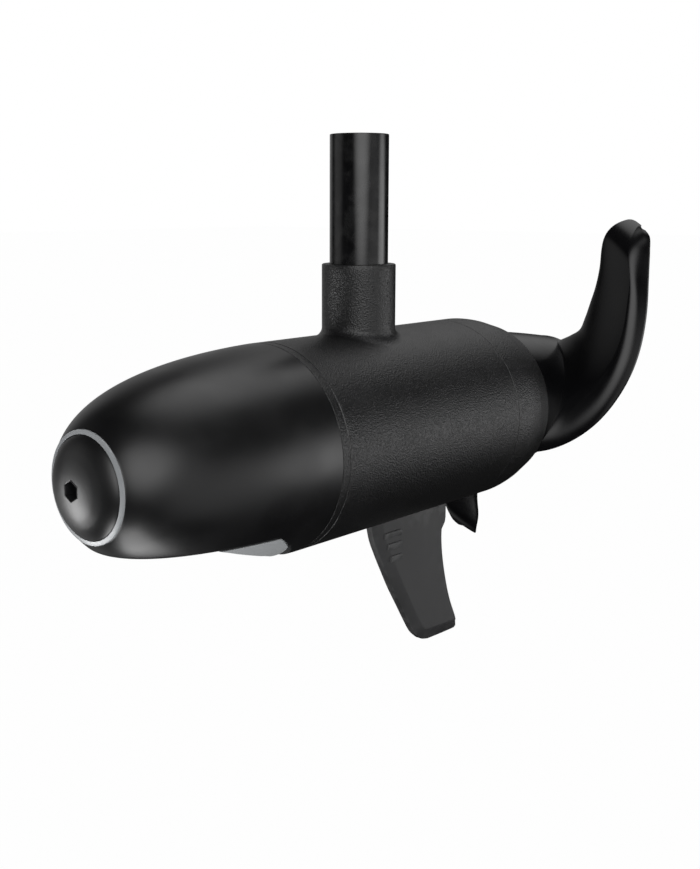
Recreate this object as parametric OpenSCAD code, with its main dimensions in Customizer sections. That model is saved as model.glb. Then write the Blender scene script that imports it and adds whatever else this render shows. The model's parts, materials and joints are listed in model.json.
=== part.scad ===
// Lower unit of a brushless trolling motor, hung from its shaft.
// The pod lies along X with its nose towards -X and its propeller towards +X.
// The origin is the centre of the shaft's top end, and +Z is up the shaft.

/* [Shaft] */
// Outside diameter of the shaft tube
shaft_od = 31.75; // [31:0.05:32.4]
// Wall thickness of the shaft tube
shaft_wall = 3.2; // [2.8:0.1:3.4]
// Distance from the shaft's top end down to the pod axis
pod_drop = 160; // [150:5:300]

/* [Pod] */
// Outside radius of the pod
pod_r = 54.3; // [54:0.1:55]
// Wall thickness of the motor housing
pod_wall = 6.3; // [6.1:0.1:6.5]
// Seam between the front end cap and the motor housing
front_seam_x = -69; // [-72:0.5:-68]
// Width of the front end cap that shows between nose and housing
front_band = 5.2; // [4:0.1:8]
// Seam between the motor housing and the tail cover
rear_seam_x = 79.65; // [79.5:0.05:80]
// Rear rim of the tail cover
tail_end_x = 120.5; // [120:0.5:122]
// Outside radius of the shaft collar
collar_r = 20.1; // [19.5:0.1:22]
// Height of the collar's top above the pod axis
collar_top = 91.3; // [88:0.1:100]

/* [Nose] */
// Front face of the nose cone
nose_x = -184; // [-190:1:-180]
// Radius of the nose cone's front opening
nose_mouth_r = 26.2; // [26:0.1:28]
// Radius of the domed nose cap
cap_r = 23.8; // [22:0.1:24]
// Height of the nose cap's dome in front of the nose cone
cap_rise = 9.4; // [8:0.1:11]
// Hex socket in the nose cap, across its flats
hex_flats = 8; // [6:0.5:10]
// Height of the flat underside of the nose, from the pod axis
belly_z = -33; // [-34:0.5:-31]
// Radius of the sonar puck behind the lens
lens_r = 20.5; // [18:0.1:21]
// Forward tilt of the sonar puck
lens_tilt = 22; // [18:1:24]
// Radius of the broad lens that fills the nose's underside
face_r = 45.4; // [44:0.1:46]
// Forward tilt of the broad lens
face_tilt = 18; // [16:1:20]
// Rounding of the broad lens's rim
face_round = 9; // [7:0.5:11]

/* [Skeg fin] */
// Full thickness of the fin
fin_t = 8; // [7:0.1:9]
// Thickness of the fin's bevelled front and lower edges
fin_edge_t = 4; // [3:0.1:6]

/* [Propeller] */
// Radius of the propeller's tips
prop_r = 127.3; // [120:0.1:130]
// Travel of the blade's helix in one turn
prop_pitch = 187; // [170:1:200]
// Radius of the hub at its front
hub_front_r = 44.3; // [43:0.1:44.4]
// Radius of the hub at its rear
hub_rear_r = 35.1; // [34:0.1:38]
// Blade thickness at the hub
blade_root_t = 11; // [8:0.5:12]
// Blade thickness at the tip
blade_tip_t = 3; // [2.5:0.1:4]

/* [Motor] */
// Front face of the stator stack
stack_x = 16; // [15:0.5:17]
// Length of the stator stack
stack_len = 50; // [46:1:50]
// Number of stator teeth, each with its own coil
teeth = 12; // [12]
// Number of rotor magnets
poles = 10; // [8, 10, 14]
// Outside radius of the rotor over its magnets
rotor_r = 28; // [27:0.1:28.4]
// Gap between the rotor and the stator
air_gap = 1.2; // [1:0.1:1.5]

/* [Hidden] */

gap = 0.05;                            // gap left between parts that fit together
bore_r = pod_r - pod_wall;             // inside radius of the motor housing
band_x = front_seam_x - front_band;    // seam between nose cone and front end cap
tube_r = shaft_od / 2;
spigot_r = tube_r - 0.5;               // the shaft's bonded end inside the collar
socket_z = 50.5;                       // floor of the shaft's socket in the collar
socket_r = spigot_r + 0.03;
lead_hole_r = 9;                       // passage for the leads under the shaft
nose_wall = 4;
face_x = -119.4;                       // centre of the broad lens's rim
face_z = -29.4;
belly_end_r = 43.6;                    // round rear end of the cut that holds the lens
lens_x = -101;                         // centre of the sonar puck's front
lens_z = -44.5;
puck_depth = 4.55;                     // skin of the lens over the puck
bolt_circle_r = 43.5;
bolt_r = 2.5;
bolt_head_r = 4.2;
bolt_angle = 45;
bearing_bore_r = 7.5;                  // the bearings are 15 x 35 x 11 mm
bearing_r = 17.5;
bearing_w = 11;
ball_r = 2.98;
ball_circle_r = 12.5;
balls = 8;
front_bearing_x = -24;
rear_bearing_x = 84;
bulkhead_x = -13;                      // rear face of the bearing bulkhead
bulkhead_hub_x = -28;                  // front face of the bulkhead's hub
rotor_seat_r = 9;                      // shaft radius under the rotor
prop_seat_r = 6;                       // shaft radius under the propeller
prop_seat_x = 116;
thread_r = 5;
spigot_gap = 0.2;                      // clearance of the end caps' spigots in the housing
nose_spigot_x = -82;                   // front of the spigot that centres the nose cone
spigot_relief_z = -27;                 // that spigot is open below here, over the flat belly
thread_x = 181;
shaft_end_x = 199;
pin_x = 122;
pin_r = 2.5;
pin_half = 13;
hub_x = 117;
hub_end_x = 196;
hub_core_r = 15;
magnet_t = 4;
tooth_w = 7;
slot_r = 40;                           // bottom of the stator's slots
board_x = -50;
standoff_angle = 45;
groove_w = 2.9;
seal_bore_r = 14;
seal_front_x = 97;
fn_round = 144;

// A cubic curve through two end points with two handles, at t from 0 to 1
function cubic(a, b, c, d, t) =
  pow(1 - t, 3) * a + 3 * pow(1 - t, 2) * t * b + 3 * (1 - t) * t * t * c + pow(t, 3) * d;

// The nose outline from the rear seam forward, moved inwards by inset
function nose_curve(inset = 0, steps = 24) = [for (i = [0:steps])
  cubic([band_x, pod_r - inset], [band_x - 48, 53 - inset],
        [nose_x + 15, 45.8 - inset], [nose_x, 26.3 - inset], i / steps)];

// A solid turned about the X axis from points given as [x, radius]
module turned(profile)
  rotate([0, 90, 0]) rotate_extrude($fn = fn_round)
    polygon([for (p = profile) [p[1], p[0]]]);

// A round bar along X
module bar(x0, x1, r, sides = 96)
  translate([x0, 0, 0]) rotate([0, 90, 0]) cylinder(h = x1 - x0, r = r, $fn = sides);

// A round tube along X
module sleeve(x0, x1, inner, outer) difference() {
  bar(x0, x1, outer, fn_round);
  bar(x0 - 1, x1 + 1, inner, fn_round);
}

// Copies spaced evenly about the X axis, at radius r
module around(count, r, start = 0)
  for (i = [0:count - 1]) rotate([start + 360 * i / count, 0, 0]) translate([0, 0, r]) children();

module in_pod() translate([0, 0, -pod_drop]) children();

// A ring of round section about the X axis
module o_ring(x, r, section) rotate([0, 90, 0])
  rotate_extrude($fn = fn_round) translate([r, x]) circle(r = section, $fn = 24);

function unit(v) = v / norm(v);
function tangent(path, i) =
  unit(path[min(i + 1, len(path) - 1)] - path[max(i - 1, 0)]);

// A lead of radius r swept along the points of a path
module lead(path, r, sides = 8) {
  rings = [for (i = [0:len(path) - 1])
    let (t = tangent(path, i), side = unit(cross(t, abs(t[1]) > 0.9 ? [1, 0, 0] : [0, 1, 0])),
         up = cross(side, t))
    for (k = [0:sides - 1]) path[i] + r * (cos(360 * k / sides) * side + sin(360 * k / sides) * up)];
  last = (len(path) - 1) * sides;
  polyhedron(rings, concat(
    [[for (k = [0:sides - 1]) k]],
    [[for (k = [0:sides - 1]) last + sides - 1 - k]],
    [for (i = [0:len(path) - 2]) for (k = [0:sides - 1]) let (a = i * sides, n = (k + 1) % sides)
      each [[a + k, a + sides + k, a + sides + n], [a + k, a + sides + n, a + n]]]));
}

// Shaft ----------------------------------------------------------------------

module shaft_tube() color([0.03, 0.03, 0.035]) in_pod() difference() {
  union() {
    translate([0, 0, collar_top])
      cylinder(h = pod_drop - collar_top, r = tube_r, $fn = fn_round);
    translate([0, 0, socket_z + gap])
      cylinder(h = pod_drop - socket_z - 1, r = spigot_r, $fn = fn_round);
  }
  translate([0, 0, socket_z - 1]) cylinder(h = pod_drop, r = tube_r - shaft_wall, $fn = 96);
}

connector_top = 154;
connector_h = 18;

module lead_connector() color([0.12, 0.12, 0.13]) in_pod() difference() {
  union() {
    translate([0, 0, connector_top - connector_h])
      cylinder(h = connector_h, r = tube_r - shaft_wall - gap, $fn = 96);
    translate([-1.5, -4, connector_top - 0.5]) cube([3, 8, 2]);
  }
  for (a = [0:120:240]) rotate(a + 60) translate([6.5, 0, connector_top - 10])
    cylinder(h = 14, r = 2.2, $fn = 32);
}

power_route = [[-49.9, 4.4, 26.5], [-44, 4.4, 27.5], [-38, 4.7, 31], [-33, 5, 35], [-27, 5, 40], [-20, 5, 42.5], [-12, 5, 43],
  [-6, 5, 44.5], [-3.5, 5, 49], [-3, 5, 56], [-3, 5, 75], [-3, 5, 100], [-3, 5, 136]];

module power_leads() in_pod() for (side = [1, -1])
  color(side > 0 ? [0.6, 0.08, 0.06] : [0.05, 0.05, 0.05])
    lead([for (p = power_route) [p[0], side * p[1], p[2]]], 2.4);

module shaft_o_ring() color([0.05, 0.05, 0.05]) translate([0, 0, 82 - pod_drop])
  rotate_extrude($fn = fn_round) translate([spigot_r + 1, 0]) circle(r = 0.97, $fn = 24);

// Pod shell ------------------------------------------------------------------

slot_x = 8;                            // front end of the fin's slot
tongue_top_r = 50.6;

// The fin's dovetail, in the X direction, made wider by grow
module dovetail(x0, x1, grow) translate([x0, 0, 0]) rotate([90, 0, 90])
  linear_extrude(x1 - x0) polygon([[-2.4 - grow, -pod_r - 2], [-2.4 - grow, -53.2],
    [-3.6 - grow, -tongue_top_r + grow], [3.6 + grow, -tongue_top_r + grow],
    [2.4 + grow, -53.2], [2.4 + grow, -pod_r - 2]]);

module motor_housing() color([0.06, 0.06, 0.065]) in_pod() difference() {
  union() {
    bar(front_seam_x, rear_seam_x, pod_r, fn_round);
    translate([0, 0, 40]) cylinder(h = collar_top - 40, r = collar_r, $fn = 96);
    translate([0, 0, 46]) cylinder(h = 13, r1 = 26, r2 = collar_r, $fn = 96);
  }
  bar(front_seam_x - 1, rear_seam_x + 1, bore_r, fn_round);
  translate([0, 0, socket_z]) cylinder(h = 60, r = socket_r, $fn = 96);
  translate([0, 0, 30]) cylinder(h = 40, r = lead_hole_r, $fn = 64);
  translate([0, 0, 80.5]) cylinder(h = 3, r = spigot_r + 2.05, $fn = 96);
  dovetail(slot_x, rear_seam_x + 1, gap);
}

module bolt_places() around(4, bolt_circle_r, bolt_angle) children();

module front_end_cap() color([0.07, 0.07, 0.075]) in_pod() difference() {
  union() {
    bar(band_x + gap, front_seam_x - gap, pod_r, fn_round);
    sleeve(front_seam_x - 1, -58, 41, bore_r - spigot_gap);
    difference() {
      sleeve(nose_spigot_x, band_x + 1, 48, 49.9);
      translate([-90, -50, -60]) cube([90 + band_x, 100, 60 + spigot_relief_z]);
    }
    bar(-84, -56, 12);
    bolt_places() rotate([0, 90, 0]) translate([0, 0, front_seam_x - 1])
      cylinder(h = 10, r = 4.2, $fn = 48);
  }
  difference() {
    bar(-66, -66 + groove_w, bore_r + 1, fn_round);
    bar(-67, -60, bore_r - 2, fn_round);
  }
  bar(-85, -60, thread_r + 0.02);
  bolt_places() rotate([0, 90, 0]) translate([0, 0, -90]) cylinder(h = 40, r = bolt_r + 0.1, $fn = 48);
  translate([-80, 0, 24]) rotate([0, 90, 0]) cylinder(h = 20, r = 5.05, $fn = 48);
}

module front_o_ring() color([0.05, 0.05, 0.05]) in_pod() o_ring(-66 + groove_w / 2, bore_r - 1, 0.95);
module rear_o_ring() color([0.05, 0.05, 0.05]) in_pod() o_ring(73 + groove_w / 2, bore_r - 1, 0.95);

module through_bolts() color([0.7, 0.71, 0.73]) in_pod() bolt_places() rotate([0, 90, 0]) difference() {
  union() {
    translate([0, 0, band_x - 6]) cylinder(h = 5, r = bolt_head_r, $fn = 48);
    translate([0, 0, band_x - 1.5]) cylinder(h = 92 - band_x + 1.5, r = bolt_r, $fn = 48);
  }
  translate([0, 0, band_x - 7]) cylinder(h = 4, r = 4 / sqrt(3), $fn = 6);
}

module bolt_seals() color([0.08, 0.08, 0.08]) in_pod() bolt_places() rotate([0, 90, 0])
  translate([0, 0, band_x - 1 + gap]) difference() {
    cylinder(h = 1 - gap, r = 4.3, $fn = 48);
    translate([0, 0, -1]) cylinder(h = 3, r = bolt_r + gap, $fn = 48);
  }

module tail_cover() color([0.06, 0.06, 0.065]) in_pod() difference() {
  union() {
    turned([[rear_seam_x + gap, pod_r], [96, pod_r], [101, 53.7], [105.5, 52.9], [113, 50.9],
      [tail_end_x - 0.8, 49.2], [tail_end_x, 48.4], [tail_end_x, 45], [115, 45], [115, seal_bore_r],
      [seal_front_x, seal_bore_r], [seal_front_x, 12], [95, 12], [95, bearing_r + 0.02],
      [rear_bearing_x, bearing_r + 0.02], [rear_bearing_x, 23], [110, 23], [110, 45],
      [103, 48.3], [90, 49.8], [84, 44], [70.5, 44], [70.5, 46], [73, 46], [73 + groove_w, 46],
      [rear_seam_x + gap, 46]]);
    sleeve(70.5, 73, 45, bore_r - spigot_gap);
    sleeve(73 + groove_w, rear_seam_x + 1, 45, bore_r - spigot_gap);
    bolt_places() rotate([0, 90, 0]) translate([0, 0, rear_seam_x + gap]) cylinder(h = 15, r = 5.6, $fn = 48);
    for (a = [0:60:300]) rotate([a, 0, 0]) translate([100, -1.5, 20]) cube([11, 3, 26]);
  }
  bolt_places() rotate([0, 90, 0]) translate([0, 0, 60]) cylinder(h = 33, r = bolt_r + 0.02, $fn = 48);
  sleeve(111.5, 112.7, seal_bore_r - 1, seal_bore_r + 1);
}

// Nose -----------------------------------------------------------------------

// The space cut out of the nose's underside, round at its rear end
module belly_cut(z, end_r = belly_end_r) intersection() {
  translate([-200, -70, z - 40]) cube([140, 140, 40]);
  union() {
    translate([face_x, 0, z - 41]) cylinder(h = 42, r = end_r, $fn = 128);
    translate([-200, -70, z - 41]) cube([200 + face_x, 140, 42]);
  }
}

// Places a shape at the lens face, with its Z axis along the lens's normal
module at_lens() translate([lens_x, 0, lens_z]) rotate([0, 180 + lens_tilt, 0]) children();

// The nose's outer shape, filled
module nose_solid() turned(concat(nose_curve(), [[nose_x, 0], [band_x, 0]]));

module nose_cone() color([0.035, 0.035, 0.04]) in_pod() difference() {
  nose_solid();
  belly_cut(belly_z);
  intersection() {
    turned(concat([for (p = nose_curve(nose_wall, 16)) if (p[0] > nose_x + 8) p],
      [[nose_x + 8, 0], [band_x + 1, 0], [band_x + 1, pod_r - nose_wall]]));
    difference() {
      translate([-200, -60, -60]) cube([140, 120, 120]);
      belly_cut(belly_z + nose_wall, belly_end_r + 1.5 * nose_wall);
      at_lens() translate([0, 0, -30]) cylinder(h = 40, r = 24, $fn = 96);
    }
  }
  at_lens() translate([0, 0, -16]) cylinder(h = 30, r = lens_r + gap, $fn = 96);
  at_lens() translate([0, 0, -40]) cylinder(h = 40, r = 5, $fn = 48);
  bolt_places() rotate([0, 90, 0]) translate([0, 0, band_x - 8])
    cylinder(h = 10, r = bolt_head_r + 0.4, $fn = 48);
  bar(nose_x - 1, nose_x + 6, nose_mouth_r);
  bar(nose_x - 1, nose_x + 12, 20);
}

module nose_trim_ring() color([0.45, 0.46, 0.47]) in_pod() turned([[nose_x - 0.8, cap_r + 0.3],
  [nose_x - 1.2, cap_r + 1.1], [nose_x - 0.8, nose_mouth_r - gap],
  [nose_x + 5.9, nose_mouth_r - gap], [nose_x + 5.9, cap_r + 0.3]]);

// The dome's outline from its rim to its tip, a flat-topped curve
function dome(steps = 14) = [for (i = [0:steps]) let (a = 90 * i / steps)
  [nose_x - 1 - (cap_rise - 1) * pow(sin(a), 1.4), cap_r * cos(a)]];

module nose_cap() color([0.035, 0.035, 0.04]) in_pod() difference() {
  turned(concat([[nose_x + 5.9, 0], [nose_x + 5.9, cap_r - 2], [nose_x + 5, cap_r]], dome()));
  bar(nose_x - cap_rise - 1, nose_x - cap_rise + 7, hex_flats / sqrt(3), 6);
  bar(nose_x - 1, nose_x + 6, thread_r + 0.02);
}

module nose_stud() color([0.72, 0.72, 0.74]) in_pod() difference() {
  union() {
    bar(nose_x, -62, thread_r);
    bar(nose_x + 12.1, nose_x + 16, 8);
  }
  translate([nose_x - 1, -0.6, -6]) cube([2, 1.2, 12]);
}

// The broad lens's rounded disc, before it is fitted to the nose
module lens_disc() translate([face_x, 0, face_z]) rotate([0, 180 + face_tilt, 0])
  rotate_extrude($fn = 128) polygon(concat([[0, -40], [face_r, -40]],
    [for (a = [0:10:80]) [face_r - face_round * (1 - cos(a)), face_round * sin(a)]],
    [[0, face_round + 0.6]]));

module transducer_lens() color([0.5, 0.51, 0.52]) in_pod() difference() {
  intersection() {
    lens_disc();
    nose_solid();
    belly_cut(belly_z - gap, belly_end_r - gap);
  }
  at_lens() translate([0, 0, -30]) cylinder(h = 30 - puck_depth, r = lens_r + gap, $fn = 96);
}

module transducer_cup() color([0.08, 0.08, 0.085]) in_pod() at_lens() difference() {
  translate([0, 0, -15.9]) cylinder(h = 11.3, r = lens_r, $fn = 96);
  translate([0, 0, -13]) cylinder(h = 20, r = lens_r - 2.5, $fn = 96);
  translate([0, 0, -20]) cylinder(h = 20, r = 3, $fn = 32);
}

module transducer_element() color([0.75, 0.7, 0.55]) in_pod() at_lens()
  translate([0, 0, -10]) cylinder(h = 5.3, r = lens_r - 4, $fn = 64);

sonar_route = [[-96.9, 0, -34.4], [-94.9, 0, -29.4], [-92.9, 0, -24.5], [-91.5, 1.5, -19.5],
  [-91.5, 5, -13], [-92, 8.5, -5], [-91, 9, 4], [-88, 7, 12], [-83.5, 3, 19.5], [-80, 1, 22.6],
  [-77, 0, 24], [-74, 0, 24], [-70, 0, 24], [-62, 0, 24], [-56, 0, 27], [-52, 0, 32],
  [-48, 0, 37], [-42, 0, 40], [-34, 0, 41.5], [-24, 0, 42.5], [-12, 0, 42.5], [-2, 0, 43.5],
  [2.5, 0, 48], [3.5, 0, 56], [3.5, 0, 75], [3.5, 0, 100], [3.5, 0, 136]];

module transducer_cable() color([0.06, 0.06, 0.06]) in_pod() lead(sonar_route, 2);

module cable_grommet() color([0.1, 0.1, 0.1]) in_pod() translate([0, 0, 24]) difference() {
  union() {
    bar(-76.2, -67, 5);
    bar(-76.2, band_x - gap, 7);
    bar(front_seam_x + gap, -67, 6.4);
  }
  bar(-80, -60, 2.1);
}

// Skeg fin -------------------------------------------------------------------

fin_outline = [[8, -50], [11.8, -66.4], [17, -77.5], [23.5, -89.5], [30, -101], [38, -113.5],
  [45.5, -125.3], [50.5, -132.6], [54.5, -136], [59, -139.5], [65, -141.2], [80, -141.4],
  [92.5, -141.6], [94.1, -140.6], [93.6, -138.2], [91, -131.9], [85.8, -120.8], [82, -110.3],
  [78.6, -97.8], [76.5, -87], [75.7, -78.3], [75.8, -73.3], [78.9, -69.6], [79.5, -67.6], [79.5, -50]];
fin_inner = [[17, -50], [19.3, -63.8], [25.2, -76.7], [30.6, -86.2], [38.4, -99.9], [51, -121.5],
  [59.1, -132.4], [67, -133.6], [90, -135], [98, -135], [98, -50]];

// An outline in the XZ plane, extruded to thickness t about the plane
module plate(outline, t) translate([0, t / 2, 0]) rotate([90, 0, 0]) linear_extrude(t) polygon(outline);

module fin_rib(x0, x1, z, side) translate([0, side * (fin_t / 2 - 0.2), z]) {
  translate([x0, -1, -1.8]) cube([x1 - x0, 2, 3.6]);
  translate([x1, 1, 0]) rotate([90, 0, 0]) cylinder(h = 2, r = 1.8, $fn = 32);
}

module skeg_fin() color([0.2, 0.2, 0.205]) in_pod() union() {
  difference() {
    intersection() {
      plate(fin_outline, fin_t);
      hull() {
        plate(fin_outline, fin_edge_t);
        plate(fin_inner, fin_t);
      }
    }
    bar(0, 100, pod_r + gap, fn_round);
  }
  for (side = [1, -1]) {
    fin_rib(23, 33, -66, side);
    fin_rib(26, 33.2, -73, side);
    fin_rib(29, 33.4, -80.8, side);
  }
  dovetail(slot_x + gap, rear_seam_x - gap, 0);
}

// Motor ----------------------------------------------------------------------

module bearing_bulkhead() color([0.62, 0.63, 0.65]) in_pod() difference() {
  union() {
    bar(-18, bulkhead_x, bore_r - gap, fn_round);
    bar(bulkhead_hub_x, bulkhead_x, 23, fn_round);
  }
  bar(front_bearing_x, bulkhead_x + 1, bearing_r + 0.02, fn_round);
  bar(bulkhead_hub_x - 1, front_bearing_x + 1, 13, fn_round);
  bolt_places() rotate([0, 90, 0]) translate([0, 0, -30]) cylinder(h = 40, r = bolt_r + 0.1, $fn = 48);
  for (a = [0:90:270]) rotate([a, 0, 0]) hull() for (s = [1, -1])
    translate([-30, 8 * s, 38]) rotate([0, 90, 0]) cylinder(h = 30, r = 8, $fn = 32);
}

// The stator's lamination, drawn in the plane across the pod
module lamination() difference() {
  union() {
    difference() {
      circle(r = bore_r - gap, $fn = fn_round);
      circle(r = slot_r, $fn = fn_round);
    }
    for (i = [0:teeth - 1]) rotate(360 * i / teeth) {
      translate([rotor_r + 2, -tooth_w / 2]) square([slot_r - rotor_r - 1, tooth_w]);
      intersection() {
        circle(r = rotor_r + 3.2, $fn = fn_round);
        translate([20, -6.2]) square([20, 12.4]);
      }
    }
  }
  circle(r = rotor_r + air_gap, $fn = fn_round);
  for (i = [0:3]) rotate(bolt_angle + 90 * i) translate([bolt_circle_r, 0]) circle(r = bolt_r + 0.1, $fn = 48);
}

module stator_core() color([0.5, 0.5, 0.52]) in_pod()
  translate([stack_x, 0, 0]) rotate([0, 90, 0]) linear_extrude(stack_len) lamination();

coil_in = tooth_w / 2 + 0.4;
coil_out = 8.1;

// A block with two half-round ends, standing along Z
module racetrack(length, r, h) {
  translate([-length / 2, -r, 0]) cube([length, 2 * r, h]);
  for (s = [1, -1]) translate([s * length / 2, 0, 0]) cylinder(h = h, r = r, $fn = 48);
}

module stator_windings() color([0.72, 0.36, 0.14]) in_pod() around(teeth, rotor_r + 3.9)
  translate([stack_x + stack_len / 2, 0, 0]) difference() {
    racetrack(stack_len - 2 * coil_in + 8, coil_out, 7.4);
    translate([0, 0, -1]) racetrack(stack_len - 2 * coil_in + 8, coil_in, 10);
  }

module slot_liners() color([0.85, 0.84, 0.78]) in_pod() difference() {
  for (x = [stack_x - 1.2, stack_x + stack_len + gap])
    translate([x, 0, 0]) rotate([0, 90, 0]) cylinder(h = 1.15, r = 41, $fn = 96);
  bar(0, 90, rotor_r + air_gap + 0.6, 96);
  around(teeth, 0) translate([0, -coil_out - 0.1, rotor_r]) cube([90, 2 * coil_out + 0.2, 11.5]);
}

phase_route = [[7.6, 0, 36], [2, 0, 37], [-8, 0, 38], [-18, 0, 38], [-28, 0, 37.5], [-38, 0, 36], [-49.9, 0, 35.5]];

module phase_leads() color([0.8, 0.6, 0.1]) in_pod() for (a = [90, 180, 270])
  rotate([a, 0, 0]) lead(phase_route, 1.6);

module drive_board() color([0.05, 0.25, 0.12]) in_pod() difference() {
  bar(board_x - 1.6, board_x, 40);
  translate([board_x - 3, -8, 28]) cube([5, 16, 20]);
  around(3, 33, standoff_angle) translate([board_x - 3, 0, 0]) rotate([0, 90, 0]) cylinder(h = 5, r = 1.6, $fn = 32);
}

module board_components() color([0.15, 0.15, 0.16]) in_pod() {
  for (a = [60, 180, 300]) rotate([a, 0, 0]) translate([board_x + gap, 0, 16])
    rotate([0, 90, 0]) cylinder(h = 17, r = 6.5, $fn = 48);
  for (a = [25, 95, 145, 215, 265, 335]) rotate([a, 0, 0]) translate([board_x + gap, -4, 25]) cube([4.5, 8, 6]);
}

module board_standoffs() color([0.75, 0.68, 0.4]) in_pod() around(3, 33, standoff_angle) rotate([0, 90, 0]) {
  translate([0, 0, front_seam_x + gap]) cylinder(h = board_x - 1.6 - front_seam_x - 2 * gap, r = 3, $fn = 32);
  translate([0, 0, board_x + gap]) cylinder(h = 1.6, r = 2.8, $fn = 32);
  translate([0, 0, board_x - 3]) cylinder(h = 4, r = 1.5, $fn = 32);
}

module sensor_board() color([0.05, 0.25, 0.12]) in_pod() difference() {
  bar(bulkhead_hub_x - gap - 1.6, bulkhead_hub_x - gap, 20);
  translate([-35, -21, -25]) cube([20, 42, 17]);
}

module preload_washer() color([0.75, 0.75, 0.77]) in_pod()
  sleeve(rear_bearing_x + bearing_w - 0.9, rear_bearing_x + bearing_w - 0.1, 13.5, 17);

// Bearings: grooved rings with the balls running between them ---------------

module race(x, inner, outer) difference() {
  sleeve(x, x + bearing_w, inner, outer);
  o_ring(x + bearing_w / 2, ball_circle_r, ball_r + 0.05);
}
module bearing_outer(x) race(x, 14.2, bearing_r);
module bearing_inner(x) race(x, bearing_bore_r + 0.02, 10.8);
module bearing_balls(x) translate([x + bearing_w / 2, 0, 0]) around(balls, ball_circle_r) sphere(r = ball_r, $fn = 48);
module bearing_cage(x) translate([x + bearing_w / 2, 0, 0]) difference() {
  sleeve(-3.9, 3.9, 11.3, 13.7);
  around(balls, ball_circle_r) sphere(r = ball_r + 0.06, $fn = 48);
}

steel = [0.78, 0.79, 0.8];
module front_bearing_outer() color(steel) in_pod() bearing_outer(front_bearing_x);
module front_bearing_inner() color(steel) in_pod() bearing_inner(front_bearing_x);
module front_bearing_balls() color(steel) in_pod() bearing_balls(front_bearing_x);
module front_bearing_cage() color([0.7, 0.62, 0.3]) in_pod() bearing_cage(front_bearing_x);
module rear_bearing_outer() color(steel) in_pod() bearing_outer(rear_bearing_x - 1);
module rear_bearing_inner() color(steel) in_pod() bearing_inner(rear_bearing_x - 1);
module rear_bearing_balls() color(steel) in_pod() bearing_balls(rear_bearing_x - 1);
module rear_bearing_cage() color([0.7, 0.62, 0.3]) in_pod() bearing_cage(rear_bearing_x - 1);

module shaft_seals() color([0.12, 0.06, 0.04]) in_pod() for (x = [seal_front_x + 0.2, seal_front_x + 7])
  turned([[x, bearing_bore_r + 2], [x, seal_bore_r - gap], [x + 6.4, seal_bore_r - gap],
    [x + 6.4, 11], [x + 2, 11], [x + 4.5, bearing_bore_r + 0.08], [x + 3.2, bearing_bore_r + 0.08]]);

module seal_retainer() color(steel) in_pod() difference() {
  sleeve(111.6, 112.6, 11.5, seal_bore_r + 0.9);
  translate([110, -3, -20]) cube([4, 6, 20]);
}

// Rotor ----------------------------------------------------------------------

module motor_shaft() color(steel) in_pod() difference() {
  turned([[front_bearing_x - 2, 0], [front_bearing_x - 2, 7], [front_bearing_x - 1.5, bearing_bore_r],
    [bulkhead_x, bearing_bore_r], [bulkhead_x, rotor_seat_r], [rear_bearing_x - 1, rotor_seat_r],
    [rear_bearing_x - 1, bearing_bore_r], [prop_seat_x, bearing_bore_r], [prop_seat_x, prop_seat_r],
    [thread_x, prop_seat_r], [thread_x, thread_r], [shaft_end_x - 1, thread_r],
    [shaft_end_x, thread_r - 1], [shaft_end_x, 0]]);
  translate([pin_x, 0, -20]) cylinder(h = 40, r = pin_r + 0.02, $fn = 48);
}

module rotor_core() color([0.5, 0.5, 0.52]) in_pod() difference() {
  bar(stack_x + 1, stack_x + stack_len - 1, rotor_r - magnet_t - gap, fn_round);
  bar(0, 90, rotor_seat_r + 0.02);
  around(5, 16.5) bar(0, 90, 4, 48);
}

module rotor_magnets() color([0.6, 0.61, 0.63]) in_pod() difference() {
  sleeve(stack_x + 1, stack_x + stack_len - 1, rotor_r - magnet_t, rotor_r);
  around(poles, 0) translate([0, -0.6, 20]) cube([90, 1.2, 12]);
}

module sensor_magnet() color([0.55, 0.56, 0.58]) in_pod() bar(front_bearing_x - 2.6, front_bearing_x - 2 - gap, 4);

// Propeller ------------------------------------------------------------------

// Blade stations from hub to tip:
// [radius, leading edge angle, angle of the crease, trailing edge angle]
blade_stations = [[36, -54, -16, 66], [42, -46, -12, 59], [48, -36.5, 4, 54], [56, -23, 9, 50.5],
  [64, -10, 14.5, 53], [73, 4, 21, 56], [83, 17.5, 30, 58.5], [94, 31, 40, 61.5],
  [104, 41, 47, 64.5], [112, 47, 53, 65.7], [120, 51.5, 57, 65.5], [126, 54.5, 59.5, 63.9],
  [127.3, 57, 59.5, 62]];
blade_steps = 30;                      // rings from hub to tip
chord_steps = 10;                      // steps from leading to trailing edge
lead_per_degree = prop_pitch / 360;
blade_x = 151.6;                       // where the helix crosses angle 0
lip_root = 3.6;                        // how far the leading lip leans aft at r = 46
lip_growth = 0.112;                    // growth of that lean for each mm of radius
tip_lean = 12.6;                       // how far the tip leans aft
tip_start_r = 108.8;

// Hub radius at x, falling away towards the rear
function hub_r(x) = hub_front_r - (hub_front_r - hub_rear_r)
  * pow(max(0, min(1, (x - hub_x) / (hub_end_x - hub_x))), 1.35);

// A smooth value between rows of the station list, at place s from 0 to 1
function station(s) = let (n = len(blade_stations) - 1, k = min(floor(s * n), n - 1), t = s * n - k,
    a = blade_stations[max(k - 1, 0)], b = blade_stations[k],
    c = blade_stations[k + 1], d = blade_stations[min(k + 2, n)])
  0.5 * (2 * b + (c - a) * t + (2 * a - 5 * b + 4 * c - d) * t * t + (3 * b - a - 3 * c + d) * t * t * t);

function tip_share(r) = max(0, (r - tip_start_r) / (126 - tip_start_r));

// How far the blade leans aft of the helix at radius r and angle q
function lean(r, q, edge, crease) = let (w = max(0, (crease - q) / max(crease - edge, 1)))
  (lip_root + (r - 46) * lip_growth) * w + tip_lean * pow(tip_share(r), 2.5) * (1 - w);

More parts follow.
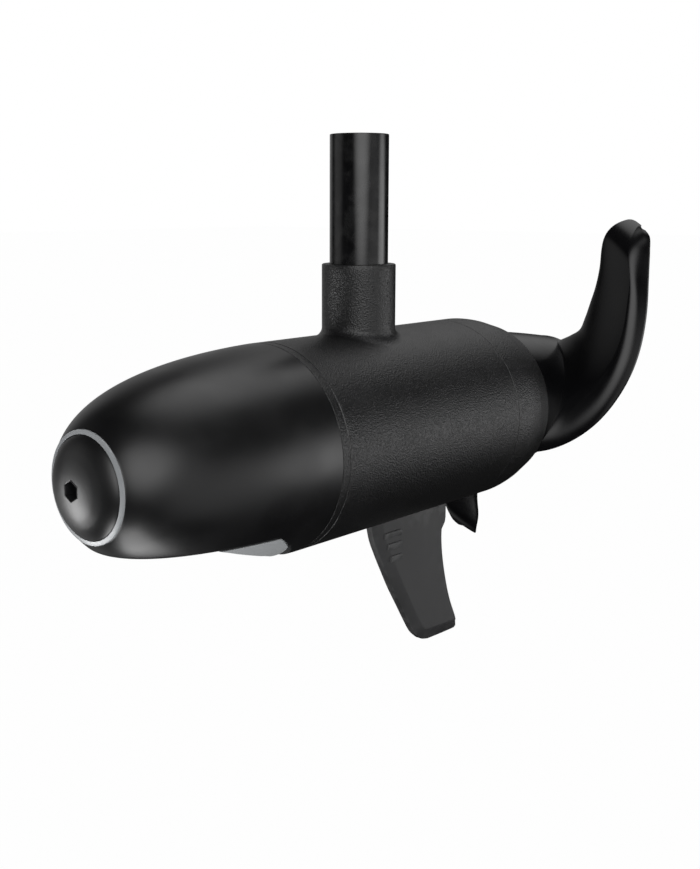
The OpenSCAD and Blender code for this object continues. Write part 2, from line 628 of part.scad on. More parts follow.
function thickness(r, u) = let (f = max(0, min(1, (r - 40) / (prop_r - 40))))
  1.6 + (blade_root_t + (blade_tip_t - blade_root_t) * pow(f, 0.7) - 1.6) * pow(4 * u * (1 - u), 0.6);

// A point on the blade: side -1 is its front face and 1 its rear face
function blade_point(s, u, side) = let (p = station(s), q = p[1] + (p[3] - p[1]) * u, r = p[0],
    mid = blade_x + lead_per_degree * q + lean(r, q, p[1], p[2]),
    slope = atan(lead_per_degree * 180 / PI / r), t = thickness(r, u) / 2,
    a = q - side * t * sin(slope) / r * 180 / PI)
  [mid + side * t * cos(slope), -r * cos(a), r * sin(a)];

module blade() {
  row = 2 * (chord_steps + 1);
  us = [for (j = [0:chord_steps]) (1 - cos(180 * j / chord_steps)) / 2];
  points = [for (i = [0:blade_steps]) each concat(
    [for (j = [0:chord_steps]) blade_point(i / blade_steps, us[j], -1)],
    [for (j = [0:chord_steps]) blade_point(i / blade_steps, us[chord_steps - j], 1)])];
  last = blade_steps * row;
  polyhedron(points, concat(
    [for (i = [0:blade_steps - 1]) for (k = [0:row - 1]) let (a = i * row, n = (k + 1) % row)
      each [[a + k, a + row + n, a + row + k], [a + k, a + n, a + row + n]]],
    [for (k = [0:chord_steps - 1]) let (m = row - 1 - k) each [[k, m, m - 1], [k, m - 1, k + 1]]],
    [for (k = [0:chord_steps - 1]) let (m = row - 1 - k)
      each [[last + k, last + m - 1, last + m], [last + k, last + k + 1, last + m - 1]]]));
}

module propeller() color([0.03, 0.03, 0.035]) in_pod() difference() {
  union() {
    turned(concat([[hub_x, hub_front_r - 7], [hub_x, hub_front_r - 1], [hub_x + 1, hub_front_r]],
      [for (i = [1:12]) let (x = hub_x + (hub_end_x - hub_x - 3) * i / 12) [x, hub_r(x)]],
      [[hub_end_x, hub_rear_r - 2.5], [hub_end_x, hub_rear_r - 7], [hub_x + 2, hub_front_r - 7]]));
    sleeve(hub_x, 176, prop_seat_r + 0.02, hub_core_r);
    sleeve(140, 176, hub_core_r - 1, 37);
    for (side = [0, 180]) rotate([side, 0, 0]) blade();
  }
  translate([hub_x - 1, -pin_r - gap, -pin_half - 0.5]) cube([pin_x + pin_r - hub_x + 1 + gap, 2 * pin_r + 2 * gap, 2 * pin_half + 1]);
}

module drive_pin() color(steel) in_pod() translate([pin_x, 0, -pin_half])
  cylinder(h = 2 * pin_half, r = pin_r, $fn = 48);
module prop_washer() color(steel) in_pod() sleeve(176 + gap, 178, prop_seat_r + gap, 14);
module prop_anode() color([0.66, 0.68, 0.7]) in_pod() sleeve(178 + gap, 185, prop_seat_r + gap, 13);

module prop_nut() color(steel) in_pod() difference() {
  union() {
    bar(185 + gap, 193, 17 / sqrt(3), 6);
    bar(192, 195, 7.4);
  }
  bar(180, 200, thread_r + 0.02);
}

shaft_tube();
lead_connector();
power_leads();
shaft_o_ring();
motor_housing();
front_end_cap();
front_o_ring();
through_bolts();
bolt_seals();
nose_cone();
nose_trim_ring();
nose_cap();
nose_stud();
transducer_lens();
transducer_cup();
transducer_element();
transducer_cable();
cable_grommet();
tail_cover();
rear_o_ring();
skeg_fin();
bearing_bulkhead();
stator_core();
stator_windings();
slot_liners();
phase_leads();
drive_board();
board_components();
board_standoffs();
sensor_board();
preload_washer();
front_bearing_outer();
rear_bearing_outer();
shaft_seals();
seal_retainer();
motor_shaft();
rotor_core();
rotor_magnets();
sensor_magnet();
front_bearing_inner();
rear_bearing_inner();
propeller();
drive_pin();
prop_washer();
prop_anode();
prop_nut();
front_bearing_balls();
front_bearing_cage();
rear_bearing_balls();
rear_bearing_cage();
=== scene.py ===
"""Looks of a brushless trolling motor's lower unit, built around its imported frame.

The pod lies along X with its nose towards -X, and it hangs from its shaft's top end,
which is the origin. Each sub-assembly is a class that builds its own pieces, and each
finish is a small frozen dataclass. All lengths are in metres.
"""

import json
import logging
import math
from dataclasses import dataclass, field
from enum import Enum

import bmesh
import bpy
import numpy as np
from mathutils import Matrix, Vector

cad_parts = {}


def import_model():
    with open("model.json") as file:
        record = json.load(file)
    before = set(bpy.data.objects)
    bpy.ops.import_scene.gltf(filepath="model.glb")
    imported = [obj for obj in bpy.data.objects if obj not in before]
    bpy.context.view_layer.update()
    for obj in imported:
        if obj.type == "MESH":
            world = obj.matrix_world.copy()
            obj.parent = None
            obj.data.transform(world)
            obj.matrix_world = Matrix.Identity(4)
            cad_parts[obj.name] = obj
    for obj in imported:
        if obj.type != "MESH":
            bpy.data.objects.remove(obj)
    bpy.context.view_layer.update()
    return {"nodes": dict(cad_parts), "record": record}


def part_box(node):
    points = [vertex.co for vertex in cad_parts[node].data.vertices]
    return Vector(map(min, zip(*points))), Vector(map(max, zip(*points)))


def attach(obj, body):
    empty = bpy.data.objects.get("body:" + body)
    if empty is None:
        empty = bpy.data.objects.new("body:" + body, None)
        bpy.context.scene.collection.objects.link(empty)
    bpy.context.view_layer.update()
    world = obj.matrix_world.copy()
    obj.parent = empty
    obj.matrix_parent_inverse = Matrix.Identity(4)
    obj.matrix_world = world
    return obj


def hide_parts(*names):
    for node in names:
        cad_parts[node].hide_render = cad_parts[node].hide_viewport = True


LOG = logging.getLogger("lower_unit")
MM = 0.001
IMAGE_SIZE = (700, 869)
ROUND_STEPS = 192
DUST_COLOUR = (0.32, 0.31, 0.29)


class Axis(Enum):
    """The axis that a turned piece is turned about."""

    POD = "pod"
    SHAFT = "shaft"


# Curves and meshes ------------------------------------------------------------


def cubic(points: list[tuple[float, float]], steps: int) -> list[tuple[float, float]]:
    """Points along a cubic curve.

    Args:
        points: The start, its handle, the end's handle and the end.
        steps: How many steps the curve is cut into.

    Returns:
        The curve's points, both ends among them.
    """
    a, b, c, d = (np.array(p, float) for p in points)
    t = np.linspace(0, 1, steps + 1)[:, None]
    curve = (1 - t) ** 3 * a + 3 * (1 - t) ** 2 * t * b + 3 * (1 - t) * t * t * c + t**3 * d
    return [tuple(p) for p in curve]


def smooth_rows(rows: np.ndarray, places: np.ndarray) -> np.ndarray:
    """Values on a smooth curve through rows.

    Args:
        rows: Rows of numbers, evenly spaced from place 0 to place 1.
        places: Where to read the curve, from 0 to 1.

    Returns:
        One row for each place.
    """
    last = len(rows) - 1
    k = np.minimum(np.floor(places * last).astype(int), last - 1)
    t = (places * last - k)[:, None]
    a, b = rows[np.maximum(k - 1, 0)], rows[k]
    c, d = rows[k + 1], rows[np.minimum(k + 2, last)]
    return 0.5 * (
        2 * b + (c - a) * t + (2 * a - 5 * b + 4 * c - d) * t**2 + (3 * b - a - 3 * c + d) * t**3
    )


def soften(profile: list[tuple[float, ...]], steps: int = 5) -> list[tuple[float, float]]:
    """Rounds the corners of a closed profile.

    Args:
        profile: Corners as (along, radius), or (along, radius, rounding) where one is rounded.
        steps: How many steps each rounding has.

    Returns:
        The profile's points with its corners rounded.
    """
    result = []
    count = len(profile)
    for i, corner in enumerate(profile):
        here = np.array(corner[:2], float)
        if len(corner) < 3 or corner[2] <= 0:
            result.append(tuple(here))
            continue
        before = np.array(profile[i - 1][:2], float) - here
        after = np.array(profile[(i + 1) % count][:2], float) - here
        reach = min(corner[2], 0.45 * np.linalg.norm(before), 0.45 * np.linalg.norm(after))
        start = here + before / np.linalg.norm(before) * reach
        end = here + after / np.linalg.norm(after) * reach
        for t in np.linspace(0, 1, steps + 1):
            result.append(tuple((1 - t) ** 2 * start + 2 * t * (1 - t) * here + t * t * end))
    return result


def mesh_object(name: str, points: np.ndarray, faces: list[list[int]]) -> bpy.types.Object:
    """A smooth-shaded object made from points and faces.

    Args:
        name: The new object's name.
        points: An array of points, three numbers each.
        faces: Lists of point numbers.

    Returns:
        The new object, linked to the scene, with its normals pointing out.
    """
    mesh = bpy.data.meshes.new(name)
    mesh.from_pydata([tuple(p) for p in points], [], faces)
    work = bmesh.new()
    work.from_mesh(mesh)
    bmesh.ops.remove_doubles(work, verts=work.verts, dist=1e-6)
    bmesh.ops.recalc_face_normals(work, faces=work.faces)
    work.to_mesh(mesh)
    work.free()
    thing = bpy.data.objects.new(name, mesh)
    bpy.context.scene.collection.objects.link(thing)
    shade(thing)
    return thing


def shade(thing: bpy.types.Object, sharp_degrees: float = 32) -> None:
    """Shades an object smooth, with edges sharper than an angle kept crisp."""
    thing.data.shade_smooth()
    bpy.context.view_layer.objects.active = thing
    with bpy.context.temp_override(object=thing, selected_editable_objects=[thing]):
        bpy.ops.object.shade_smooth_by_angle(angle=math.radians(sharp_degrees))


def ring_faces(rings: int, around: int, close_rings: bool) -> list[list[int]]:
    """Faces of a tube of rings.

    Args:
        rings: How many rings there are.
        around: How many points each ring has.
        close_rings: Whether the last ring joins the first.

    Returns:
        Four-sided faces that join each ring to the next.
    """
    faces = []
    for i in range(rings if close_rings else rings - 1):
        low, high = i * around, (i + 1) % rings * around
        for j in range(around):
            k = (j + 1) % around
            faces.append([low + j, low + k, high + k, high + j])
    return faces


def dovetail_bar(name: str, points: np.ndarray) -> bpy.types.Object:
    """A dovetail bar from the six corners of each of its two ends.

    Args:
        name: The new object's name.
        points: Twelve corners, six for each end, going round.

    Returns:
        The new object, with each end made of two convex faces.
    """
    faces = [[i, (i + 1) % 6, 6 + (i + 1) % 6, 6 + i] for i in range(6)]
    for start in (0, 6):
        faces += [[start, start + 1, start + 4, start + 5], [start + i for i in (1, 2, 3, 4)]]
    return mesh_object(name, points, faces)


def turned_points(profile: np.ndarray, axis: Axis, centre: float, steps: int) -> np.ndarray:
    """Points of a profile turned about an axis.

    Args:
        profile: Rows of (along the axis, radius).
        axis: The axis that it is turned about.
        centre: Height of the pod's axis, used when it is turned about that.
        steps: How many steps a full turn has.

    Returns:
        The points, ring by ring.
    """
    angle = np.linspace(0, 2 * math.pi, steps, endpoint=False)
    along = np.repeat(profile[:, 0], steps)
    radius = np.repeat(profile[:, 1], steps)
    turn = np.tile(angle, len(profile))
    if axis is Axis.POD:
        return np.stack([along, -radius * np.cos(turn), centre + radius * np.sin(turn)], 1)
    return np.stack([radius * np.cos(turn), radius * np.sin(turn), along], 1)


def turned(
    name: str, profile: list[tuple[float, ...]], axis: Axis, centre: float = 0.0,
    steps: int = ROUND_STEPS,
) -> bpy.types.Object:
    """A closed solid turned from a closed profile given in millimetres.

    Args:
        name: The new object's name.
        profile: Corners as for soften, in millimetres.
        axis: The axis that it is turned about.
        centre: Height of the pod's axis, in metres.
        steps: How many steps a full turn has.

    Returns:
        The new object.
    """
    rows = np.array(soften(profile)) * MM
    points = turned_points(rows, axis, centre, steps)
    return mesh_object(name, points, ring_faces(len(rows), steps, True))


def cut(thing: bpy.types.Object, tool: bpy.types.Object, operation: str = "DIFFERENCE") -> None:
    """Applies one solid to another and deletes the tool."""
    modifier = thing.modifiers.new("cut", "BOOLEAN")
    modifier.operation = operation
    modifier.solver = "EXACT"
    modifier.object = tool
    settle(thing)
    bpy.data.objects.remove(tool)
    work = bmesh.new()
    work.from_mesh(thing.data)
    bmesh.ops.remove_doubles(work, verts=work.verts, dist=4e-6)
    bmesh.ops.dissolve_degenerate(work, edges=work.edges, dist=2e-6)
    bmesh.ops.holes_fill(work, edges=[e for e in work.edges if e.is_boundary], sides=12)
    work.to_mesh(thing.data)
    work.free()


def settle(thing: bpy.types.Object) -> None:
    """Applies an object's modifiers to its mesh."""
    bpy.context.view_layer.update()
    graph = bpy.context.evaluated_depsgraph_get()
    mesh = bpy.data.meshes.new_from_object(thing.evaluated_get(graph))
    thing.modifiers.clear()
    thing.data = mesh


def join(name: str, things: list[bpy.types.Object]) -> bpy.types.Object:
    """Joins objects into the first one and names it."""
    with bpy.context.temp_override(active_object=things[0], selected_editable_objects=things):
        bpy.ops.object.join()
    things[0].name = name
    return things[0]


# Finishes ---------------------------------------------------------------------


class NodeGroups:
    """Shader node groups that the finishes share, each built once."""

    TONE_SCALE = 38.0
    WEAR_SCALE = 160.0
    DUST_SCALE = 70.0
    GRAIN_TURN = (0.62, 0.91, 0.38)

    @staticmethod
    def _new(name: str, inputs: dict[str, float], outputs: list[str]) -> tuple:
        """A new group with a position input, its named inputs and its outputs."""
        group = bpy.data.node_groups.new(name, "ShaderNodeTree")
        group.interface.new_socket("Position", in_out="INPUT", socket_type="NodeSocketVector")
        for label, value in inputs.items():
            socket = group.interface.new_socket(
                label, in_out="INPUT", socket_type="NodeSocketFloat")
            socket.default_value = value
        for label in outputs:
            group.interface.new_socket(label, in_out="OUTPUT", socket_type="NodeSocketFloat")
        return group, group.nodes.new("NodeGroupInput"), group.nodes.new("NodeGroupOutput")

    @staticmethod
    def _noise(group: bpy.types.NodeTree, place: object, scale: object, detail: float) -> object:
        """A noise texture in a group, read at a place and a scale."""
        noise = group.nodes.new("ShaderNodeTexNoise")
        noise.inputs["Detail"].default_value = detail
        group.links.new(place, noise.inputs["Vector"])
        if isinstance(scale, float):
            noise.inputs["Scale"].default_value = scale
        else:
            group.links.new(scale, noise.inputs["Scale"])
        return noise.outputs["Fac"]

    @staticmethod
    def _sum(group: bpy.types.NodeTree, kind: str, a: object, b: object) -> object:
        """A Math node in a group, fed by sockets or numbers."""
        node = group.nodes.new("ShaderNodeMath")
        node.operation = kind
        for socket, value in zip(node.inputs, (a, b)):
            if isinstance(value, (int, float)):
                socket.default_value = value
            else:
                group.links.new(value, socket)
        return node.outputs[0]

    @classmethod
    def _ramp(cls, group: bpy.types.NodeTree, value: object, low: float, high: float) -> object:
        """A smooth ramp from 0 at low to 1 at high."""
        node = group.nodes.new("ShaderNodeMapRange")
        node.interpolation_type = "SMOOTHSTEP"
        node.inputs["From Min"].default_value = low
        node.inputs["From Max"].default_value = high
        group.links.new(value, node.inputs["Value"])
        return node.outputs["Result"]

    def grain(self) -> bpy.types.NodeTree:
        """Fine surface grain: a height, and a broad tone from 0 to 1."""
        if "surface_grain" in bpy.data.node_groups:
            return bpy.data.node_groups["surface_grain"]
        group, start, end = self._new(
            "surface_grain", {"Scale": 900.0, "Pitting": 0.5}, ["Height", "Tone"]
        )
        skew, scale = group.nodes.new("ShaderNodeMapping"), start.outputs["Scale"]
        group.links.new(start.outputs["Position"], skew.inputs["Vector"])
        skew.inputs["Rotation"].default_value = self.GRAIN_TURN
        place = skew.outputs["Vector"]
        fine = self._noise(group, place, scale, 2.0)
        pits = group.nodes.new("ShaderNodeTexVoronoi")
        group.links.new(place, pits.inputs["Vector"])
        group.links.new(scale, pits.inputs["Scale"])
        pits_in = self._sum(group, "MULTIPLY", pits.outputs["Distance"], start.outputs["Pitting"])
        group.links.new(self._sum(group, "ADD", fine, pits_in), end.inputs["Height"])
        broad = self._noise(group, place, self.TONE_SCALE, 4.0)
        group.links.new(self._ramp(group, broad, 0.35, 0.65), end.inputs["Tone"])
        return group

    def wear(self) -> bpy.types.NodeTree:
        """Rubbed edges: a mask of convex edges broken up by noise."""
        if "edge_wear" in bpy.data.node_groups:
            return bpy.data.node_groups["edge_wear"]
        group, start, end = self._new("edge_wear", {"Spread": 0.04}, ["Mask"])
        shape = group.nodes.new("ShaderNodeNewGeometry")
        ridge = self._sum(group, "SUBTRACT", shape.outputs["Pointiness"], 0.5)
        ridge = self._sum(group, "DIVIDE", ridge, start.outputs["Spread"])
        blots = self._noise(group, start.outputs["Position"], self.WEAR_SCALE, 6.0)
        broken = self._ramp(group, blots, 0.3, 0.7)
        mask = self._sum(group, "MULTIPLY", ridge, broken)
        group.links.new(self._ramp(group, mask, 0.1, 1.0), end.inputs["Mask"])
        return group

    def dust(self) -> bpy.types.NodeTree:
        """A thin film of dust: a mask on faces that look up."""
        if "settled_dust" in bpy.data.node_groups:
            return bpy.data.node_groups["settled_dust"]
        group, start, end = self._new("settled_dust", {"Amount": 0.1}, ["Mask"])
        shape = group.nodes.new("ShaderNodeNewGeometry")
        parts = group.nodes.new("ShaderNodeSeparateXYZ")
        group.links.new(shape.outputs["Normal"], parts.inputs["Vector"])
        up = self._ramp(group, parts.outputs["Z"], 0.2, 1.0)
        clouds = self._noise(group, start.outputs["Position"], self.DUST_SCALE, 8.0)
        patches = self._ramp(group, clouds, 0.42, 0.7)
        mask = self._sum(group, "MULTIPLY", up, patches)
        mask = self._sum(group, "MULTIPLY", mask, start.outputs["Amount"])
        group.links.new(mask, end.inputs["Mask"])
        return group


@dataclass(frozen=True)
class Finish:
    """One surface finish, and how its shader is made."""

    name: str
    colour: tuple[float, float, float]
    roughness: float
    tone: float = 0.12
    roughness_span: float = 0.06
    grain_mm: float = 1.0
    grain_depth_mm: float = 0.02
    bump: float = 0.3
    pitting: float = 0.4
    metallic: float = 0.0
    coat: float = 0.0
    coat_roughness: float = 0.1
    worn: tuple[float, float, float] = (0.2, 0.2, 0.2)
    wear: float = 0.25
    dust: float = 0.05
    specular: float = 0.5

    def _group(self, tree: bpy.types.NodeTree, group: bpy.types.NodeTree, place: object) -> object:
        """Places a shared group in the material and feeds it the position."""
        node = tree.nodes.new("ShaderNodeGroup")
        node.node_tree = group
        tree.links.new(place, node.inputs["Position"])
        return node

    def _mix(self, tree: bpy.types.NodeTree, mask: object, under: object, over: tuple) -> object:
        """Lays a colour over another through a mask."""
        node = tree.nodes.new("ShaderNodeMix")
        node.data_type = "RGBA"
        tree.links.new(mask, node.inputs["Factor"])
        if isinstance(under, tuple):
            node.inputs[6].default_value = (*under, 1)
        else:
            tree.links.new(under, node.inputs[6])
        node.inputs[7].default_value = (*over, 1)
        return node.outputs[2]

    def _range(self, tree: bpy.types.NodeTree, value: object, low: float, high: float) -> object:
        """Maps a value from 0..1 to low..high."""
        node = tree.nodes.new("ShaderNodeMapRange")
        node.inputs["To Min"].default_value = low
        node.inputs["To Max"].default_value = high
        tree.links.new(value, node.inputs["Value"])
        return node.outputs["Result"]

    def build(self, groups: NodeGroups) -> bpy.types.Material:
        """Makes the material.

        Args:
            groups: The shared node groups.

        Returns:
            The material, made once for each finish.
        """
        if self.name in bpy.data.materials:
            return bpy.data.materials[self.name]
        material = bpy.data.materials.new(self.name)
        material.use_nodes = True
        tree = material.node_tree
        shader = tree.nodes["Principled BSDF"]
        place = tree.nodes.new("ShaderNodeTexCoord").outputs["Object"]
        grain = self._group(tree, groups.grain(), place)
        grain.inputs["Scale"].default_value = 1.0 / (self.grain_mm * MM)
        grain.inputs["Pitting"].default_value = self.pitting
        wear = self._group(tree, groups.wear(), place)
        dust = self._group(tree, groups.dust(), place)
        dust.inputs["Amount"].default_value = self.dust
        darker = tuple(c * (1 - self.tone) for c in self.colour)
        lighter = tuple(min(1.0, c * (1 + self.tone)) for c in self.colour)
        colour = self._mix(tree, grain.outputs["Tone"], darker, lighter)
        rubbed = self._range(tree, wear.outputs["Mask"], 0.0, self.wear)
        colour = self._mix(tree, rubbed, colour, self.worn)
        colour = self._mix(tree, dust.outputs["Mask"], colour, DUST_COLOUR)
        tree.links.new(colour, shader.inputs["Base Color"])
        half_span = self.roughness_span / 2
        low, high = self.roughness - half_span, self.roughness + half_span
        tree.links.new(
            self._range(tree, grain.outputs["Tone"], low, high), shader.inputs["Roughness"]
        )
        bump = tree.nodes.new("ShaderNodeBump")
        bump.inputs["Strength"].default_value = self.bump
        bump.inputs["Distance"].default_value = self.grain_depth_mm * MM
        tree.links.new(grain.outputs["Height"], bump.inputs["Height"])
        tree.links.new(bump.outputs["Normal"], shader.inputs["Normal"])
        shader.inputs["Metallic"].default_value = self.metallic
        shader.inputs["Specular IOR Level"].default_value = self.specular
        shader.inputs["Coat Weight"].default_value = self.coat
        shader.inputs["Coat Roughness"].default_value = self.coat_roughness
        return material


POWDER_COAT = Finish(
    "black_powder_coat", (0.0075, 0.0075, 0.008), 0.37, grain_mm=0.85, grain_depth_mm=0.3,
    bump=0.95, pitting=0.6, roughness_span=0.03, tone=0.05, worn=(0.06, 0.06, 0.06),
    wear=0.2, dust=0.01,
)
NOSE_SATIN = Finish(
    "satin_black_nose", (0.005, 0.005, 0.0055), 0.36, grain_mm=0.45, grain_depth_mm=0.03,
    bump=0.2, worn=(0.03, 0.03, 0.03), wear=0.2, dust=0.008,
)
CAP_SATIN = Finish(
    "satin_black_cap", (0.006, 0.006, 0.0065), 0.38, grain_mm=0.35, grain_depth_mm=0.02,
    bump=0.12, worn=(0.06, 0.06, 0.06), dust=0.02,
)
TRIM_GREY = Finish(
    "trim_grey", (0.3, 0.305, 0.31), 0.17, metallic=1.0, grain_mm=0.5, grain_depth_mm=0.02,
    bump=0.05, worn=(0.3, 0.3, 0.3),
)
LENS_GREY = Finish(
    "lens_grey", (0.2, 0.2, 0.202), 0.4, grain_mm=0.6, grain_depth_mm=0.03, bump=0.15,
    worn=(0.4, 0.4, 0.4),
)
SHAFT_GLOSS = Finish(
    "gloss_black_shaft", (0.004, 0.004, 0.0045), 0.19, grain_mm=2.5, grain_depth_mm=0.012,
    bump=0.08, coat=0.1, coat_roughness=0.05, worn=(0.04, 0.04, 0.04), dust=0.004,
    specular=0.4,
)
FIN_PLASTIC = Finish(
    "grained_grey_fin", (0.021, 0.021, 0.022), 0.55, grain_mm=0.45, grain_depth_mm=0.1, bump=0.4,
    worn=(0.12, 0.12, 0.12), dust=0.02,
)
PROP_GLOSS = Finish(
    "gloss_black_propeller", (0.0035, 0.0035, 0.004), 0.24, grain_mm=1.6, grain_depth_mm=0.015,
    bump=0.12, coat=0.1, coat_roughness=0.12, worn=(0.03, 0.03, 0.03), dust=0.005,
    specular=0.28,
)
STEEL = Finish(
    "bright_steel", (0.58, 0.59, 0.6), 0.28, metallic=1.0, grain_mm=0.4, grain_depth_mm=0.01,
    worn=(0.7, 0.7, 0.7),
)
BRASS = Finish("pressed_brass", (0.66, 0.5, 0.22), 0.32, metallic=1.0, worn=(0.8, 0.65, 0.35))
ZINC = Finish(
    "cast_zinc", (0.42, 0.44, 0.47), 0.55, metallic=0.9, grain_mm=0.8, grain_depth_mm=0.08,
    worn=(0.6, 0.6, 0.62),
)
RUBBER = Finish("black_rubber", (0.02, 0.02, 0.02), 0.75, worn=(0.06, 0.06, 0.06))
NYLON = Finish("black_nylon", (0.03, 0.03, 0.033), 0.5, worn=(0.1, 0.1, 0.1))
RED_SHEATH = Finish("red_sheath", (0.3, 0.03, 0.03), 0.55, worn=(0.4, 0.1, 0.1))
YELLOW_SHEATH = Finish("yellow_sheath", (0.6, 0.42, 0.06), 0.5, worn=(0.7, 0.55, 0.2))
CERAMIC = Finish("potted_ceramic", (0.6, 0.55, 0.42), 0.5, worn=(0.7, 0.66, 0.55))
CASTING = Finish(
    "machined_casting", (0.55, 0.56, 0.58), 0.42, metallic=1.0, grain_mm=0.6,
    grain_depth_mm=0.04, worn=(0.75, 0.75, 0.76),
)
LAMINATION = Finish("stacked_laminations", (0.25, 0.25, 0.27), 0.5, metallic=0.8)
COPPER = Finish("enamelled_copper", (0.62, 0.22, 0.08), 0.35, metallic=0.9, worn=(0.8, 0.4, 0.2))
LINER = Finish("natural_nylon", (0.72, 0.7, 0.6), 0.5, worn=(0.85, 0.83, 0.75))
BOARD = Finish("board_green", (0.02, 0.16, 0.06), 0.4, worn=(0.3, 0.4, 0.2))
COMPONENT = Finish("component_black", (0.04, 0.04, 0.045), 0.4, worn=(0.1, 0.1, 0.1))
NICKEL = Finish("nickel_plate", (0.5, 0.51, 0.53), 0.25, metallic=1.0, worn=(0.7, 0.7, 0.7))

SLOT_FINISHES = {
    "shaft_composite": SHAFT_GLOSS, "pod_powder_coat": POWDER_COAT,
    "nose_satin_black": NOSE_SATIN, "trim_grey": TRIM_GREY, "lens_grey": LENS_GREY,
    "fin_plastic": FIN_PLASTIC, "propeller_black": PROP_GLOSS, "bright_steel": STEEL,
    "cage_brass": BRASS, "zinc": ZINC, "rubber_black": RUBBER, "connector_black": NYLON,
    "lead_sheath": RED_SHEATH, "phase_sheath": YELLOW_SHEATH, "sonar_ceramic": CERAMIC,
    "cast_aluminium": CASTING, "lamination_steel": LAMINATION, "copper": COPPER,
    "liner_plastic": LINER, "board_green": BOARD, "component_black": COMPONENT,
    "magnet_nickel": NICKEL,
}


# The object -------------------------------------------------------------------


@dataclass
class Layout:
    """Main places of the unit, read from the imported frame."""

    axis_z: float = 0.0
    pod_r: float = 0.0
    collar_top: float = 0.0
    collar_r: float = 0.0201
    front_seam: float = 0.0
    rear_seam: float = 0.0
    tail_end: float = 0.0
    nose_front: float = 0.0
    band_front: float = 0.0
    shaft_r: float = 0.0

    @classmethod
    def from_frame(cls) -> "Layout":
        """Reads the places from the CAD nodes' boxes."""
        low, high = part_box("motor_housing")
        nose_low, nose_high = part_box("nose_cone")
        tube_low, tube_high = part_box("shaft_tube")
        pod_r = (high.y - low.y) / 2
        return cls(
            axis_z=low.z + pod_r, pod_r=pod_r, collar_top=high.z, front_seam=low.x,
            rear_seam=high.x, tail_end=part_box("tail_cover")[1].x, nose_front=nose_low.x,
            band_front=nose_high.x, shaft_r=(tube_high.x - tube_low.x) / 2,
        )


@dataclass
class Piece:
    """What one finished piece stands for."""

    thing: bpy.types.Object
    body: str
    finish: Finish
    slot: str
    nodes: tuple[str, ...]


@dataclass
class Assembly:
    """A sub-assembly: its layout, the shared groups, and the pieces made so far."""

    layout: Layout
    groups: NodeGroups
    pieces: list[Piece] = field(default_factory=list)

    def add(
        self, thing: bpy.types.Object, body: str, finish: Finish, slot: str, *nodes: str
    ) -> bpy.types.Object:
        """Finishes a piece: its material, its body and the nodes that it stands for."""
        thing.data.materials.clear()
        thing.data.materials.append(finish.build(self.groups))
        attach(thing, body)
        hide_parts(*nodes)
        self.pieces.append(Piece(thing, body, finish, slot, nodes))
        return thing

    def ring(self, name: str, profile: list[tuple[float, ...]]) -> bpy.types.Object:
        """A piece turned about the pod's axis from a profile in millimetres."""
        return turned(name, profile, Axis.POD, self.layout.axis_z)

    def bar(self, x0: float, x1: float, radius: float, steps: int = 96) -> bpy.types.Object:
        """A plain bar on the pod's axis, in millimetres, used as a cutting tool."""
        rows = np.array([(x0, 0.0), (x0, radius), (x1, radius), (x1, 0.0)]) * MM
        points = turned_points(rows, Axis.POD, self.layout.axis_z, steps)
        return mesh_object("tool", points, ring_faces(4, steps, False))

    def post(self, z0: float, z1: float, radius: float, steps: int = 96) -> bpy.types.Object:
        """A plain bar on the shaft's axis, heights in millimetres above the pod's axis."""
        base = self.layout.axis_z / MM
        low, high = base + z0, base + z1
        rows = np.array([(low, 0.0), (low, radius), (high, radius), (high, 0.0)])
        points = turned_points(rows * MM, Axis.SHAFT, 0.0, steps)
        return mesh_object("tool", points, ring_faces(4, steps, False))


